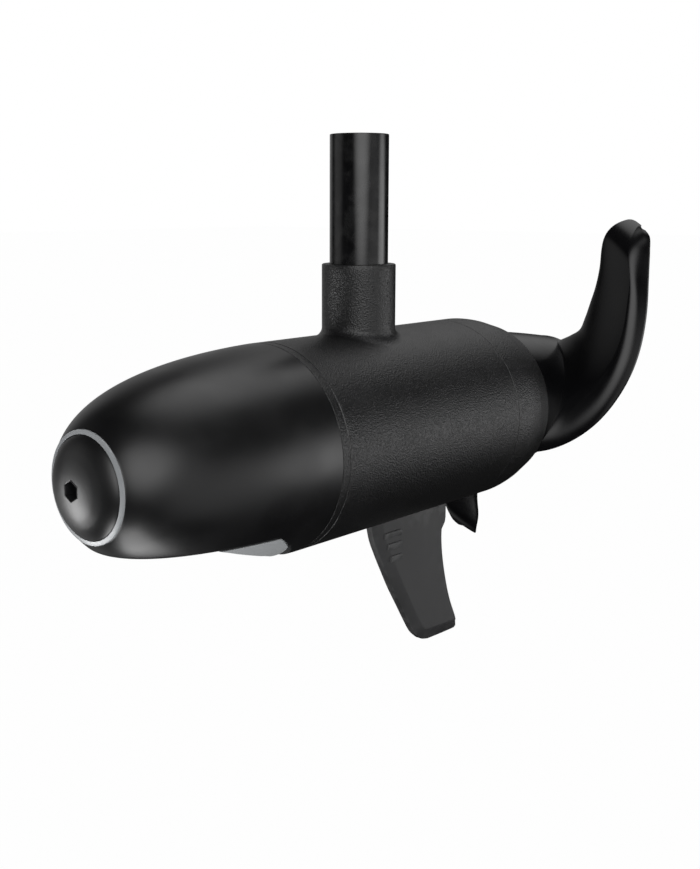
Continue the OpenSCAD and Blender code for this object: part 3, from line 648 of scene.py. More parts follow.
@dataclass
class PodShell(Assembly):
    """The motor housing with its collar, the front band, the tail cover and the shaft."""

    wall_mm: float = 6.3
    fillet_mm: float = 4.5
    patch_mm: float = 36.0
    patch_steps: int = 30
    socket_floor_mm: float = 50.5
    socket_relief_mm: float = 0.47
    socket_past_mm: float = 28.0
    bevel_mm: float = 0.45
    lip_mm: float = 0.7
    lip_rings: tuple = ((2.6, 0.0), (1.0, 0.0), (0.3, 0.3), (0.0, 1.0))
    fillet_steps: int = 11
    outer_steps: int = 10
    collar_steps: int = 13
    lead_hole_mm: tuple = (30, 60, 9)
    slot_start_mm: float = 8.0
    slot_outline: tuple = (
        (-2.45, -57.0), (-2.45, -53.2), (-3.65, -50.55), (3.65, -50.55), (2.45, -53.2),
        (2.45, -57.0))
    tube_wall_mm: float = 3.2
    spigot_step_mm: float = 0.5

    def _seat(self, x: np.ndarray, y: np.ndarray, gap: np.ndarray) -> np.ndarray:
        """Height of the housing's top at a plan position, raised by the collar's fillet.

        Args:
            x: Positions along the pod.
            y: Positions across the pod.
            gap: Distance of each from the collar's wall.

        Returns:
            Heights above the pod's axis.
        """
        fillet = self.fillet_mm * MM
        top = np.sqrt(np.maximum(self.layout.pod_r**2 - y**2, 0.0))
        inside = np.clip(gap / fillet, 0.0, 1.0)
        return top + fillet * (1 - np.sqrt(1 - (1 - inside) ** 2))

    def _collar_patch(self) -> tuple[np.ndarray, list[list[int]]]:
        """The square patch of housing round the collar, with the fillet and the collar."""
        radius, patch, count = self.layout.pod_r, self.patch_mm * MM, self.patch_steps
        collar, fillet = self.layout.collar_r, self.fillet_mm * MM
        side = np.linspace(-patch, patch, count + 1)
        flat = np.full(count, patch)
        edge_x = np.concatenate([flat, side[::-1][:-1], -flat, side[:-1]])
        edge_s = np.concatenate([side[:-1], flat, side[::-1][:-1], -flat])
        edge_y = radius * np.sin(edge_s / radius)
        turn = np.arctan2(edge_y, edge_x)
        inner_x, inner_y = collar * np.cos(turn), collar * np.sin(turn)
        reach = np.hypot(edge_x - inner_x, edge_y - inner_y)
        rings = []
        turns = np.linspace(0, math.pi / 2, self.fillet_steps + 1)
        for part in (1 - np.cos(turns)) * fillet:
            rings.append(part / reach)
        for part in np.linspace(0.0, 1.0, self.outer_steps + 1)[1:]:
            rings.append(fillet / reach + (1 - fillet / reach) * part)
        points = []
        lip = self.lip_mm * MM
        top = self.layout.collar_top - self.layout.axis_z
        base = self._seat(inner_x, inner_y, np.zeros_like(inner_x))
        points.append(np.stack([inner_x * 0, inner_y * 0, np.full_like(base, top)], 1))
        for shrink, drop in self.lip_rings:
            scale = 1 - shrink * lip / collar
            points.append(np.stack(
                [inner_x * scale, inner_y * scale, np.full_like(base, top - drop * lip)], 1))
        for part in np.linspace(0, 1, self.collar_steps + 1)[1:-1]:
            height = (top - lip) * (1 - part) + base * part
            points.append(np.stack([inner_x, inner_y, height], 1))
        for share in rings:
            x = inner_x + (edge_x - inner_x) * share
            y = inner_y + (edge_y - inner_y) * share
            points.append(np.stack([x, y, self._seat(x, y, share * reach)], 1))
        return np.concatenate(points), ring_faces(len(points), 4 * count, False)

    def housing(self) -> bpy.types.Object:
        """The motor housing: a round shell whose collar flows out of it in a fillet."""
        lay, patch, count = self.layout, self.patch_mm * MM, self.patch_steps
        points, faces = self._collar_patch()
        step = 2 * patch / count
        bevel = self.bevel_mm * MM
        left_count = max(2, round((-patch - lay.front_seam) / step))
        right_count = max(2, round((lay.rear_seam - patch) / step))
        left = np.linspace(lay.front_seam + bevel, -patch, left_count)
        right = np.linspace(patch, lay.rear_seam - bevel, right_count)
        middle = np.linspace(-patch, patch, count + 1)
        columns = np.concatenate([left[:-1], middle, right[1:]])
        half = patch / lay.pod_r
        arc = 2 * math.pi - 2 * half
        near = np.linspace(-half, half, count + 1)
        far = half + np.linspace(0, arc, round(arc / (2 * half) * count) + 1)[1:-1]
        angles = np.concatenate([near, far])
        first, last = len(left) - 1, len(left) - 1 + count
        grid_start = len(points)
        rows = []
        rim = lay.pod_r - bevel
        xs = np.concatenate([[lay.front_seam], columns, [lay.rear_seam]])
        rs = np.concatenate([[rim], np.full(len(columns), lay.pod_r), [rim]])
        for x, r in zip(xs, rs):
            along = np.full(len(angles), x)
            rows.append(np.stack([along, r * np.sin(angles), r * np.cos(angles)], 1))
        around = len(angles)
        for i in range(len(xs) - 1):
            for j in range(around):
                column = i - 1
                if first <= column < last and j < count:
                    continue
                k = (j + 1) % around
                a, b = grid_start + i * around, grid_start + (i + 1) * around
                faces.append([a + j, b + j, b + k, a + k])
        for i in (0, len(xs) - 1):
            faces.append([grid_start + i * around + j for j in range(around)])
        points = np.concatenate([points, *rows])
        points[:, 2] += lay.axis_z
        shell = mesh_object("motor_housing_shell", points, faces)
        x0, x1 = lay.front_seam / MM, lay.rear_seam / MM
        cut(shell, self.bar(x0 - 1, x1 + 1, lay.pod_r / MM - self.wall_mm, ROUND_STEPS))
        socket_top = (lay.collar_top - lay.axis_z) / MM + self.socket_past_mm
        socket_r = lay.shaft_r / MM - self.socket_relief_mm
        cut(shell, self.post(self.socket_floor_mm, socket_top, socket_r, 128))
        cut(shell, self.post(*self.lead_hole_mm, 64))
        cut(shell, self._slot_tool(self.slot_start_mm, x1 + 1))
        shade(shell)
        return self.add(shell, "pod", POWDER_COAT, "pod_powder_coat", "motor_housing")

    def _slot_tool(self, x0: float, x1: float) -> bpy.types.Object:
        """A dovetail bar that cuts the fin's slot, in millimetres."""
        base = self.layout.axis_z / MM
        points = [(x, y, z + base) for x in (x0, x1) for y, z in self.slot_outline]
        points = np.array(points) * MM
        return dovetail_bar("tool", points)

    def band(self) -> bpy.types.Object:
        """The front end cap: its visible band, its bulkhead and its two spigots."""
        x0, x1 = self.layout.band_front / MM + 0.05, self.layout.front_seam / MM - 0.05
        r = self.layout.pod_r / MM
        thing = self.ring("front_end_cap_turned", [
            (x0, r, 0.5), (x1, r, 0.5), (x1, 47.95), (x1 + 11, 47.95), (x1 + 11, 41),
            (x1, 41), (x1, 12), (x1 + 13, 12), (x1 + 13, 5.05), (x0 - 10, 5.05), (x0 - 10, 12),
            (x0, 12), (x0, 48), (x0 - 7.8, 48), (x0 - 7.8, 49.9), (x0, 49.9)])
        return self.add(thing, "pod", POWDER_COAT, "pod_powder_coat", "front_end_cap")

    def tail(self) -> bpy.types.Object:
        """The tail cover: a taper, a crease and a rolled rear rim round the propeller's hub."""
        x0, x1 = self.layout.rear_seam / MM + 0.05, self.layout.tail_end / MM
        r = self.layout.pod_r / MM
        thing = self.ring("tail_cover_turned", [
            (x0, r, 0.5), (96, r, 6), (101, 53.7, 2), (105.5, 52.9, 0.8), (113, 50.9, 2),
            (x1 - 0.9, 49.2, 0.8), (x1, 48.4, 0.6), (x1, 45, 0.4), (115, 45), (115, 14),
            (97, 14), (97, 12), (95, 12), (95, 17.52), (84, 17.52), (84, 23), (110, 23),
            (110, 45), (103, 48.3), (90, 49.8), (84, 44), (70.5, 44), (70.5, 47.95),
            (x0, 47.95)])
        return self.add(thing, "pod", POWDER_COAT, "pod_powder_coat", "tail_cover")

    def shaft(self) -> bpy.types.Object:
        """The shaft tube, with its bonded end inside the collar."""
        r, top = self.layout.shaft_r / MM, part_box("shaft_tube")[1].z / MM
        low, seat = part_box("shaft_tube")[0].z / MM, self.layout.collar_top / MM
        inner, spigot = r - self.tube_wall_mm, r - self.spigot_step_mm
        thing = turned("shaft_tube_turned", [
            (low, inner), (low, spigot), (seat, spigot), (seat, r), (top, r, 0.5),
            (top, inner, 0.4)], Axis.SHAFT)
        return self.add(thing, "pod", SHAFT_GLOSS, "shaft_composite", "shaft_tube")

    def build(self) -> None:
        """Builds the shell's pieces."""
        self.housing()
        self.band()
        self.tail()
        self.shaft()


@dataclass
class Nose(Assembly):
    """The nose cone with its flat belly, its trim ring and cap, and the sonar lens."""

    mouth_r: float = 26.2
    front_r: float = 26.3
    cap_r: float = 23.8
    cap_rise: float = 9.4
    hex_flats: float = 8.0
    hex_depth: float = 7.0
    belly_z: float = -33.0
    belly_round: float = 2.4
    belly_centre: float = -119.4
    belly_r: float = 43.6
    belly_step: float = 1.6
    wall: float = 4.0
    lens_x: float = -119.4
    lens_z: float = -29.4
    lens_r: float = 45.4
    lens_tilt: float = 18.0
    lens_round: float = 9.0
    lens_steps: int = 256
    lens_back: float = -34.0
    lens_bulge: float = 0.6
    lens_gap: float = 0.05
    belly_drop: float = 26.0
    cone_steps: int = 360

    def _outline(self, inset: float, steps: int) -> list[tuple[float, float]]:
        """The nose's outline from the seam forward, moved inwards, in millimetres."""
        seam, front = self.layout.band_front / MM, self.layout.nose_front / MM
        r = self.layout.pod_r / MM
        return cubic([
            (seam, r - inset), (seam - 48, 53 - inset), (front + 15, 45.8 - inset),
            (front, self.front_r - inset)], steps)

    def _belly(self, x: np.ndarray, y: np.ndarray, wall: np.ndarray) -> np.ndarray:
        """Height of the belly's surface at a plan position, in millimetres.

        Args:
            x: Positions along the pod.
            y: Positions across the pod.
            wall: How far inside the skin each position is.

        Returns:
            Heights from the pod's axis: the flat, or far below past its round rear end.
        """
        away = np.hypot(np.maximum(x - self.belly_centre, 0.0), y) - self.belly_r - 4 * wall
        away = np.where(x < self.belly_centre, -self.belly_r, away)
        share = np.clip(away / self.belly_step, 0.0, 1.0)
        return self.belly_z + wall - self.belly_drop * share * share * (3 - 2 * share)

    def cone(self) -> bpy.types.Object:
        """The nose cone: a turned shell pressed flat underneath."""
        seam, front = self.layout.band_front / MM, self.layout.nose_front / MM
        outer = self._outline(0.0, 170)
        outer = [(seam, outer[0][1] - 0.35), (seam - 0.35, outer[0][1])] + outer[1:-1]
        mouth = [
            (front + 0.4, self.front_r + 0.25), (front, self.mouth_r + 0.02),
            (front + 0.1, self.mouth_r), (front + 6, self.mouth_r), (front + 6, 20),
            (front + 8, 20)]
        inner = [p for p in self._outline(self.wall, 90)[::-1] if p[0] > front + 8]
        rows = np.array(outer + mouth + inner) * MM
        is_inner = np.arange(len(rows)) >= len(outer) + len(mouth) - 1
        steps = self.cone_steps
        points = turned_points(rows, Axis.POD, 0.0, steps)
        wall = np.repeat(np.where(is_inner, self.wall, 0.0), steps)
        x, y, z = points.T / MM
        floor = self._belly(x, y, wall)
        soft = self.belly_round
        high = np.maximum(z, floor) + soft * np.maximum(1 - np.abs(z - floor) / soft, 0) ** 2 / 4
        points[:, 2] = np.where(z < 0, high, z) * MM + self.layout.axis_z
        thing = mesh_object("nose_cone_shell", points, ring_faces(len(rows), steps, True))
        shade(thing)
        return self.add(thing, "pod", NOSE_SATIN, "nose_satin_black", "nose_cone")

    def lens(self) -> bpy.types.Object:
        """The sonar lens: a tilted disc with a soft rim, trimmed to the nose's own shape."""
        r, rim, base = self.lens_r, self.lens_round, self.layout.axis_z
        profile = [(self.lens_back, 0.0), (self.lens_back, r), (-0.4, r)]
        for a in np.linspace(0, 1.45, 22):
            profile.append((rim * math.sin(a), r - rim + rim * math.cos(a)))
        flat = r - rim - 1.5
        profile += [(rim - 0.12, flat + 0.35), (rim - 0.12, flat)]
        for q in np.linspace(flat - 0.5, 0, 16):
            profile.append((rim + self.lens_bulge * (1 - (q / flat) ** 2), q))
        steps = self.lens_steps
        points = turned_points(np.array(profile) * MM, Axis.SHAFT, 0.0, steps)
        thing = mesh_object("sonar_lens_domed", points, ring_faces(len(profile), steps, False))
        turn = math.radians(180 + self.lens_tilt)
        for vertex in thing.data.vertices:
            x, y, z = vertex.co
            vertex.co = (
                x * math.cos(turn) + z * math.sin(turn) + self.lens_x * MM, y,
                z * math.cos(turn) - x * math.sin(turn) + self.lens_z * MM + base)
        skin = [(x, q - self.lens_gap) for x, q in self._outline(0.0, 120)]
        skin = [(skin[0][0], 0.0), *skin, (skin[-1][0], 0.0)]
        points = turned_points(np.array(skin) * MM, Axis.POD, base, steps)
        cut(thing, mesh_object("tool", points, ring_faces(len(skin), steps, False)), "INTERSECT")
        edge_r, top = self.belly_r - 0.1, self.belly_z - self.lens_gap
        rows = [(-90.0, 0.0), (-90.0, edge_r), (top, edge_r), (top, 0.0)]
        points = turned_points(np.array(rows) * MM, Axis.SHAFT, 0.0, 192)
        points += (self.belly_centre * MM, 0.0, base)
        cut(thing, mesh_object("tool", points, ring_faces(4, 192, False)), "INTERSECT")
        shade(thing)
        return self.add(thing, "pod", LENS_GREY, "lens_grey", "transducer_lens")

    def trim(self) -> bpy.types.Object:
        """The grey lip between the nose cone and its cap."""
        front = self.layout.nose_front / MM
        thing = self.ring("nose_trim_ring_turned", [
            (front - 1.3, self.cap_r + 0.3, 0.04), (front - 0.8, self.mouth_r - 0.05, 0.04),
            (front + 5.9, self.mouth_r - 0.05),
            (front + 5.9, self.cap_r + 0.3)])
        return self.add(thing, "pod", TRIM_GREY, "trim_grey", "nose_trim_ring")

    def cap(self) -> bpy.types.Object:
        """The domed cap, with rings that pass from its hex socket out to its round rim."""
        front = self.layout.nose_front / MM
        steps = 192
        turn = np.linspace(0, 2 * math.pi, steps, endpoint=False)
        sector = np.mod(turn, math.pi / 3) - math.pi / 6
        hexagon = self.hex_flats / 2 / np.cos(sector)
        tip = front - self.cap_rise
        rings = [(np.zeros(steps), tip + self.hex_depth + 1.2), (hexagon, tip + self.hex_depth)]
        rings += [(hexagon, tip + self.hex_depth * (1 - t)) for t in (0.5, 0.93)]
        rings += [(hexagon + 0.18, tip + 0.12), (hexagon + 0.5, tip)]
        for share in np.linspace(0, 1, 40)[1:]:
            circle = self.cap_r * math.sin(share * math.pi / 2)
            radius = hexagon + 0.5 + (circle - hexagon - 0.5) * min(1.0, share * 1.6)
            least = circle if share > 0.5 else rings[-1][0] + 0.02
            radius = np.maximum(radius, least)
            fall = np.clip(1 - (radius / self.cap_r) ** 2, 0, 1) ** 0.7
            rings.append((radius, front - 1 - (self.cap_rise - 1) * fall))
        rings += [
            (np.full(steps, self.cap_r), front + 5.0),
            (np.full(steps, self.cap_r - 1), front + 5.9), (np.zeros(steps), front + 5.9)]
        points = [np.stack([np.broadcast_to(x, steps), -r * np.sin(turn), r * np.cos(turn)], 1)
                  for r, x in rings]
        points = np.concatenate(points) * MM
        points[:, 2] += self.layout.axis_z
        thing = mesh_object("nose_cap_domed", points, ring_faces(len(rings), steps, False))
        return self.add(thing, "pod", CAP_SATIN, "nose_satin_black", "nose_cap")

    def build(self) -> None:
        """Builds the nose's pieces."""
        self.cone()
        self.lens()
        self.trim()
        self.cap()


@dataclass
class SkegFin(Assembly):
    """The fin under the housing, bevelled along its front and lower edges."""

    half_edge: float = 2.0
    half_full: float = 4.0
    edge_pairs: tuple = (
        ((8.5, -52.5), (17.2, -52.5)), ((11.8, -66.4), (19.9, -65.2)), ((17, -77.5), (25.3, -76.7)),
        ((23.5, -89.5), (31.6, -87.8)), ((30, -101), (38.2, -99.6)), ((38, -113.5), (45.4, -111.6)),
        ((45.5, -125.3), (52.0, -122.6)), ((50.5, -132.6), (56.6, -129.6)),
        ((54.5, -136.4), (59.2, -132.3)), ((59, -139.5), (62.6, -133.3)),
        ((65, -141.1), (67, -133.7)), ((80, -141.5), (79.5, -134.4)),
        ((92.2, -141.6), (89.6, -134.9)), ((94.0, -140.6), (90.7, -134.9)),
        ((93.5, -138.2), (91.2, -134.6)), ((91, -131.9), (90.2, -132.0)),
        ((85.8, -120.8), (84.9, -121)),
        ((82, -110.3), (81.1, -110.5)), ((78.6, -97.8), (77.7, -97.9)), ((76.5, -87), (75.6, -87)),
        ((75.7, -78.3), (74.8, -78.3)), ((75.8, -73.3), (74.9, -73)), ((78.9, -69.6), (78.1, -69)),
        ((79.5, -66), (78.7, -66)), ((79.5, -52.5), (78.7, -52.5)),
    )
    ribs: tuple = ((19.5, 33.6, -66.0), (22.5, 33.8, -73.0), (25.5, 34.0, -80.8))
    rib_lift: float = 0.8
    rib_half: float = 1.8
    tongue_start: float = 8.05
    tongue_outline: tuple = (
        (-2.4, -55.0), (-2.4, -53.2), (-3.6, -50.6), (3.6, -50.6), (2.4, -53.2), (2.4, -55.0))

    def _loops(self) -> list[np.ndarray]:
        """The fin's outline at each step from one face round its edge to the other."""
        rows = np.array([[*outer, *inner] for outer, inner in self.edge_pairs], float)
        front, heel, rear, root = rows[:11], rows[11:15], rows[15:22], rows[22:]
        fine = np.concatenate([
            smooth_rows(front, np.linspace(0, 1, 81)), heel,
            smooth_rows(rear, np.linspace(0, 1, 41)), root])
        outer, inner = fine[:, :2], fine[:, 2:]
        loops = []
        full, edge = self.half_full, self.half_edge
        steps = ((1.12, full), (1.0, full), (0.94, full - 0.06), (0.1, edge + 0.2), (0.03, edge),
                 (0.0, edge - 0.5))
        for share, half in steps:
            flat = outer + (inner - outer) * share
            loops.append(np.stack([flat[:, 0], np.full(len(flat), -half), flat[:, 1]], 1))
        return loops + [loop * (1, -1, 1) for loop in loops[::-1]]

    def _rib(self, x0: float, x1: float, z: float, side: int) -> bpy.types.Object:
        """One raised rib with a round rear end and softened edges."""
        high, half, lift = self.half_full + self.rib_lift, self.rib_half, self.half_edge
        turn = np.linspace(-math.pi / 2, math.pi / 2, 13)
        end = [(x1 + half * math.cos(a), half * math.sin(a)) for a in turn]
        flat = np.array([(x0, -half), *end, (x0, half)])
        middle = np.array([(x0 + x1) / 2, 0.0])
        loops = []
        for depth, grow in ((lift, 0.0), (high - 0.3, 0.0), (high - 0.08, 0.1), (high, 0.3)):
            shape = flat + (middle - flat) * (grow / half) * (0.35, 1.0)
            across = np.full(len(shape), side * depth)
            loops.append(np.stack([shape[:, 0], across, shape[:, 1] + z], 1))
        count = len(flat)
        points = np.concatenate(loops) * MM
        points[:, 2] += self.layout.axis_z
        faces = ring_faces(len(loops), count, False)
        faces += [list(range(count)), list(range(3 * count, 4 * count))]
        return mesh_object("rib", points, faces)

    def build(self) -> None:
        """Builds the fin, its ribs and its dovetail tongue."""
        loops = self._loops()
        count = len(loops[0])
        points = np.concatenate(loops) * MM
        points[:, 2] += self.layout.axis_z
        faces = ring_faces(len(loops), count, False)
        faces += [list(range(count)), list(range((len(loops) - 1) * count, len(loops) * count))]
        fin = mesh_object("fin", points, faces)
        cut(fin, self.bar(0, 100, self.layout.pod_r / MM + 0.05, ROUND_STEPS))
        shade(fin)
        things = [fin] + [self._rib(*rib, side) for rib in self.ribs for side in (-1, 1)]
        base = self.layout.axis_z / MM
        ends = (self.tongue_start, self.layout.rear_seam / MM - 0.05)
        points = [(x, y, z + base) for x in ends for y, z in self.tongue_outline]
        things.append(dovetail_bar("tongue", np.array(points) * MM))
        thing = join("skeg_fin_bevelled", things)
        self.add(thing, "pod", FIN_PLASTIC, "fin_plastic", "skeg_fin")


@dataclass
class Propeller(Assembly):
    """The two-blade propeller, swept and creased, on its tapering hub."""

    stations: tuple = (
        (36, -54, -16, 66), (42, -46, -12, 59), (48, -36.5, 4, 54), (56, -23, 9, 50.5),
        (64, -10, 14.5, 53), (73, 4, 21, 56), (83, 17.5, 30, 58.5), (94, 31, 40, 61.5),
        (104, 41, 47, 64.5), (112, 47, 53, 65.7), (120, 51.5, 57, 65.5), (126, 54.5, 59.5, 63.9),
        (127.3, 57, 59.5, 62),
    )
    pitch: float = 187.0
    helix_x: float = 151.6
    lip_root: float = 3.6
    lip_growth: float = 0.112
    tip_lean: float = 12.6
    tip_start: float = 108.8
    tip_full: float = 126.0
    tip_power: float = 2.5
    lip_start: float = 46.0
    root_r: float = 40.0
    root_t: float = 11.0
    tip_t: float = 3.0
    edge_t: float = 1.3
    round_start: float = 121.0
    tip_r: float = 127.3
    hub_front_r: float = 44.3
    hub_rear_r: float = 35.1
    hub_x: float = 117.0
    hub_end: float = 196.0
    rings: int = 110
    chord: int = 44

    def _hub_r(self, x: np.ndarray) -> np.ndarray:
        """Radius of the hub at positions along the pod, in millimetres."""
        share = np.clip((x - self.hub_x) / (self.hub_end - self.hub_x), 0, 1)
        return self.hub_front_r - (self.hub_front_r - self.hub_rear_r) * share**1.35

    def _face(self, row: np.ndarray, side: int) -> np.ndarray:
        """One face of the blade across one ring, with a column of points on the crease.

        Args:
            row: Radius and the angles of the leading edge, crease and trailing edge.
            side: -1 for the front face and 1 for the rear face.

        Returns:
            Points of that face, in millimetres, from the pod's axis.
        """
        r, lead, crease, trail = row
        fine = (1 - np.cos(np.linspace(0, math.pi, self.chord // 2 + 1))) / 2
        turn = (crease - lead) / (trail - lead)
        u = np.concatenate([turn * fine, turn + (1 - turn) * fine[1:]])
        if side > 0:
            u = u[::-1]
        q = lead + (trail - lead) * u
        fold = np.clip((crease - q) / max(crease - lead, 1), 0, None)
        soft = 0.3 * fold + 0.7 * fold**2.2
        tip = max(0.0, (r - self.tip_start) / (self.tip_full - self.tip_start))
        tip = tip**self.tip_power * self.tip_lean
        lip = self.lip_root + (r - self.lip_start) * self.lip_growth
        lean = lip * soft + tip * (1 - np.minimum(fold, 1))
        share = min(max((r - self.root_r) / (self.tip_r - self.root_r), 0), 1)
        thick = self.root_t + (self.tip_t - self.root_t) * share**0.7
        belly = np.power(np.clip(4 * u * (1 - u), 0, 1), 0.6)
        t = self.edge_t + (thick - self.edge_t) * belly
        round_off = max(0.0, (r - self.round_start) / (self.tip_r + 0.1 - self.round_start))
        t = t / 2 * math.sqrt(1 - round_off**2)
        slope = math.atan(self.pitch / (2 * math.pi * r))
        a = np.radians(q) - side * t * math.sin(slope) / r
        x = self.helix_x + self.pitch / 360 * q + lean + side * t * math.cos(slope)
        return np.stack([x, -r * np.cos(a), r * np.sin(a)], 1)

    def _blade(self, half_turn: int) -> bpy.types.Object:
        """One blade; half_turn 1 gives the opposite one."""
        rows = smooth_rows(np.array(self.stations, float), np.linspace(0, 1, self.rings + 1))
        loops = [np.concatenate([self._face(row, -1), self._face(row, 1)]) for row in rows]
        count = len(loops[0])
        points = np.concatenate(loops)
        if half_turn:
            points = points * (1, -1, -1)
        points = points * MM
        points[:, 2] += self.layout.axis_z
        faces = ring_faces(len(loops), count, False)
        for start in (0, (len(loops) - 1) * count):
            for k in range(self.chord):
                back = start + count - 1 - k
                faces.append([start + k, start + k + 1, back - 1, back])
        return mesh_object("blade", points, faces)

    def build(self) -> None:
        """Builds the hub and both blades as one moulding."""
        xs = np.linspace(self.hub_x + 1.5, self.hub_end - 5, 24)
        outer = [(x, float(self._hub_r(x))) for x in xs]
        hub = self.ring("hub", [
            (self.hub_x, self.hub_front_r - 7, 0.4), (self.hub_x, self.hub_front_r, 1.2), *outer,
            (self.hub_end, self.hub_rear_r + 0.4, 3.5), (self.hub_end, self.hub_rear_r - 6.5, 1.5),
            (178, 30.2, 2.0), (176, 15, 0.5), (176, 6.05), (self.hub_x, 6.05), (self.hub_x, 15),
            (140, 15), (140, 34.5), (121, 37)])
        for half_turn in (0, 1):
            cut(hub, self._blade(half_turn), "UNION")
        shade(hub, 40)
        hub.name = "propeller_moulding"
        self.add(hub, "rotor", PROP_GLOSS, "propeller_black", "propeller")


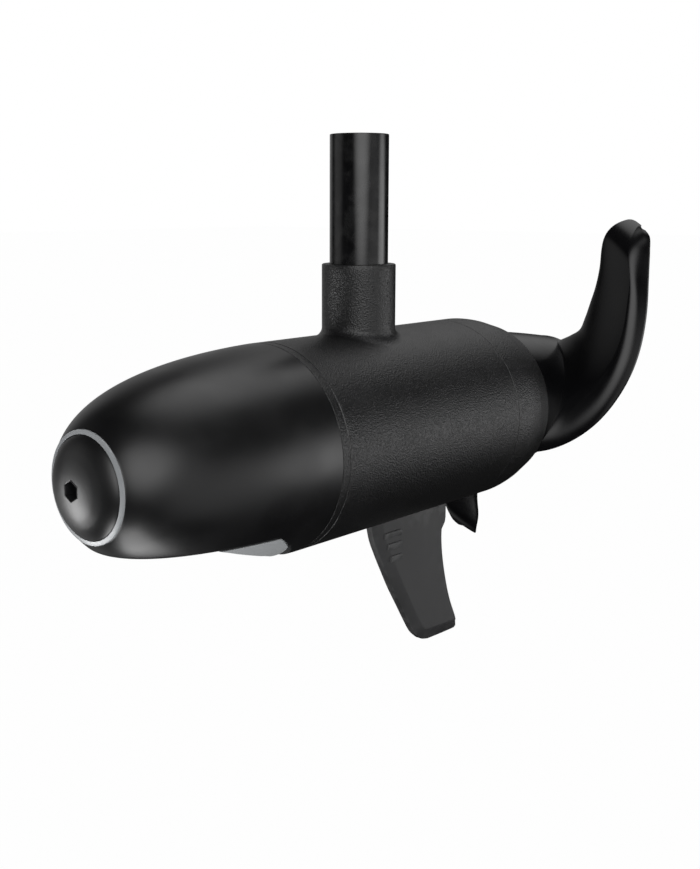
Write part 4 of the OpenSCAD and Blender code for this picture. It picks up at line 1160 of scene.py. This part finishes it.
class Studio:
    """Camera, lights, floor and surroundings."""

    focal_px = 1173.5
    centre_px = (322.3, 397.5)
    place = (-0.48901, -0.41533, 0.12544)
    yaw = 0.735
    pitch = -0.1669
    floor_z = -0.42
    floor_half = 12.0
    floor_glow = 1.02
    floor_glow_share = 0.97
    ambient = 0.015
    soft_lamps = (
        (231, 22, 8, 38, 3.3), (2, 66, 5, 30, 1.9), (20, 30, 3, 26, 0.5), (318, -4, 4, 20, 3.0),
        (130, 8, 4, 28, 0.5), (281, -14, 6, 36, 0.75), (334, 0, 3, 10, 0.8),
        (65, 10, 8, 36, 0.4), (95, -35, 6, 30, 0.3),
    )

    def __init__(self, layout: Layout) -> None:
        """Keeps the layout that the studio is set round."""
        self.layout = layout

    def camera(self) -> None:
        """Makes the camera and sets it as the scene's own."""
        width, height = IMAGE_SIZE
        data = bpy.data.cameras.new("camera")
        data.lens = self.focal_px / height * data.sensor_width
        data.shift_x = (width / 2 - self.centre_px[0]) / height
        data.shift_y = (self.centre_px[1] - height / 2) / height
        data.clip_start, data.clip_end = 0.01, 50
        camera = bpy.data.objects.new("camera", data)
        bpy.context.scene.collection.objects.link(camera)
        x, y, z = self.place
        camera.location = (x, y, z + self.layout.axis_z)
        look = Vector((
            math.cos(self.pitch) * math.cos(self.yaw), math.cos(self.pitch) * math.sin(self.yaw),
            math.sin(self.pitch)))
        camera.rotation_euler = look.to_track_quat("-Z", "Y").to_euler()
        bpy.context.scene.camera = camera

    def lamp(self, name: str, place: tuple, aim: tuple, size: tuple, level: float) -> None:
        """Adds one soft rectangular light that the camera doesn't see itself.

        Args:
            name: The light's name.
            place: Where it stands.
            aim: The point that it faces.
            size: Its width and height.
            level: Its brightness, on the scale of the surroundings.
        """
        data = bpy.data.lights.new(name, "AREA")
        data.shape = "RECTANGLE"
        data.size, data.size_y = size
        data.energy = level * math.pi * size[0] * size[1]
        light = bpy.data.objects.new(name, data)
        bpy.context.scene.collection.objects.link(light)
        light.location = place
        light.rotation_euler = (Vector(aim) - Vector(place)).to_track_quat("-Z", "Y").to_euler()
        light.visible_camera = False

    def floor(self) -> None:
        """A plain pale floor, which lets the low lamps reach the unit from below."""
        grid = bmesh.new()
        bmesh.ops.create_grid(grid, x_segments=24, y_segments=8, size=self.floor_half)
        mesh = bpy.data.meshes.new("floor")
        grid.to_mesh(mesh)
        grid.free()
        floor = bpy.data.objects.new("floor", mesh)
        bpy.context.scene.collection.objects.link(floor)
        floor.location.z = self.floor_z
        material = bpy.data.materials.new("pale_floor")
        material.use_nodes = True
        shader = material.node_tree.nodes["Principled BSDF"]
        shader.inputs["Base Color"].default_value = (0.03, 0.03, 0.03, 1)
        shader.inputs["Roughness"].default_value = 0.9
        tree = material.node_tree
        glow = tree.nodes.new("ShaderNodeEmission")
        glow.inputs["Strength"].default_value = self.floor_glow
        path = tree.nodes.new("ShaderNodeLightPath")
        blend = tree.nodes.new("ShaderNodeMixShader")
        share = tree.nodes.new("ShaderNodeMath")
        share.operation = "MULTIPLY"
        share.inputs[1].default_value = self.floor_glow_share
        tree.links.new(path.outputs["Is Camera Ray"], share.inputs[0])
        tree.links.new(share.outputs[0], blend.inputs["Fac"])
        tree.links.new(shader.outputs["BSDF"], blend.inputs[1])
        tree.links.new(glow.outputs["Emission"], blend.inputs[2])
        tree.links.new(blend.outputs["Shader"], tree.nodes["Material Output"].inputs["Surface"])
        floor.data.materials.append(material)
        floor.visible_glossy = floor.visible_diffuse = False

    def world(self) -> None:
        """White surroundings to the eye, and soft lamps on black for the object."""
        world = bpy.data.worlds.new("studio")
        bpy.context.scene.world = world
        world.use_nodes = True
        tree = world.node_tree
        background = tree.nodes["Background"]
        toward = tree.nodes.new("ShaderNodeTexCoord").outputs["Generated"]
        total: object = self.ambient
        for azimuth, elevation, inner, outer, level in self.soft_lamps:
            dot = tree.nodes.new("ShaderNodeVectorMath")
            dot.operation = "DOT_PRODUCT"
            tree.links.new(toward, dot.inputs[0])
            turn, rise = math.radians(azimuth), math.radians(elevation)
            dot.inputs[1].default_value = (
                math.cos(turn) * math.cos(rise), math.sin(turn) * math.cos(rise), math.sin(rise))
            lobe = tree.nodes.new("ShaderNodeMapRange")
            lobe.interpolation_type = "SMOOTHSTEP"
            lobe.inputs["From Min"].default_value = math.cos(math.radians(outer))
            lobe.inputs["From Max"].default_value = math.cos(math.radians(inner))
            lobe.inputs["To Max"].default_value = level
            tree.links.new(dot.outputs["Value"], lobe.inputs["Value"])
            add = tree.nodes.new("ShaderNodeMath")
            tree.links.new(lobe.outputs["Result"], add.inputs[0])
            if isinstance(total, float):
                add.inputs[1].default_value = total
            else:
                tree.links.new(total, add.inputs[1])
            total = add.outputs[0]
        path = tree.nodes.new("ShaderNodeLightPath")
        pick = tree.nodes.new("ShaderNodeMix")
        tree.links.new(path.outputs["Is Camera Ray"], pick.inputs["Factor"])
        tree.links.new(total, pick.inputs[2])
        pick.inputs[3].default_value = 1.0
        tree.links.new(pick.outputs[0], background.inputs["Strength"])
        background.inputs["Color"].default_value = (1, 1, 1, 1)

    def build(self) -> None:
        """Builds the studio."""
        self.camera()
        self.floor()
        self.world()
        z = self.layout.axis_z
        self.lamp("under", (-0.23, -0.03, -0.4), (-0.21, -0.02, z), (0.12, 0.2), 5.0)
        self.lamp("low_left", (-0.48, 0.34, z - 0.2), (-0.19, 0.0, z), (0.25, 0.25), 9.0)
        bpy.context.scene.view_settings.view_transform = "Standard"


def dress_nodes(frame: dict, groups: NodeGroups) -> None:
    """Gives each CAD node that still shows the finish of its material slot."""
    slots = {part["node"]: part["material_slot"] for part in frame["record"]["subparts"]}
    for name, thing in frame["nodes"].items():
        if thing.hide_render:
            continue
        thing.data.materials.clear()
        thing.data.materials.append(SLOT_FINISHES[slots[name]].build(groups))
        shade(thing)


def main() -> None:
    """Builds the unit in order and reports each piece."""
    logging.basicConfig(level=logging.INFO, format="%(name)s: %(message)s")
    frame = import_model()
    layout = Layout.from_frame()
    groups = NodeGroups()
    Studio(layout).build()
    for kind in (PodShell, Nose, SkegFin, Propeller):
        assembly = kind(layout, groups)
        assembly.build()
        for piece in assembly.pieces:
            LOG.info("%s rides on %s and has %d faces", piece.thing.name, piece.body,
                     len(piece.thing.data.polygons))
    dress_nodes(frame, groups)


if __name__ == "__main__":
    main()
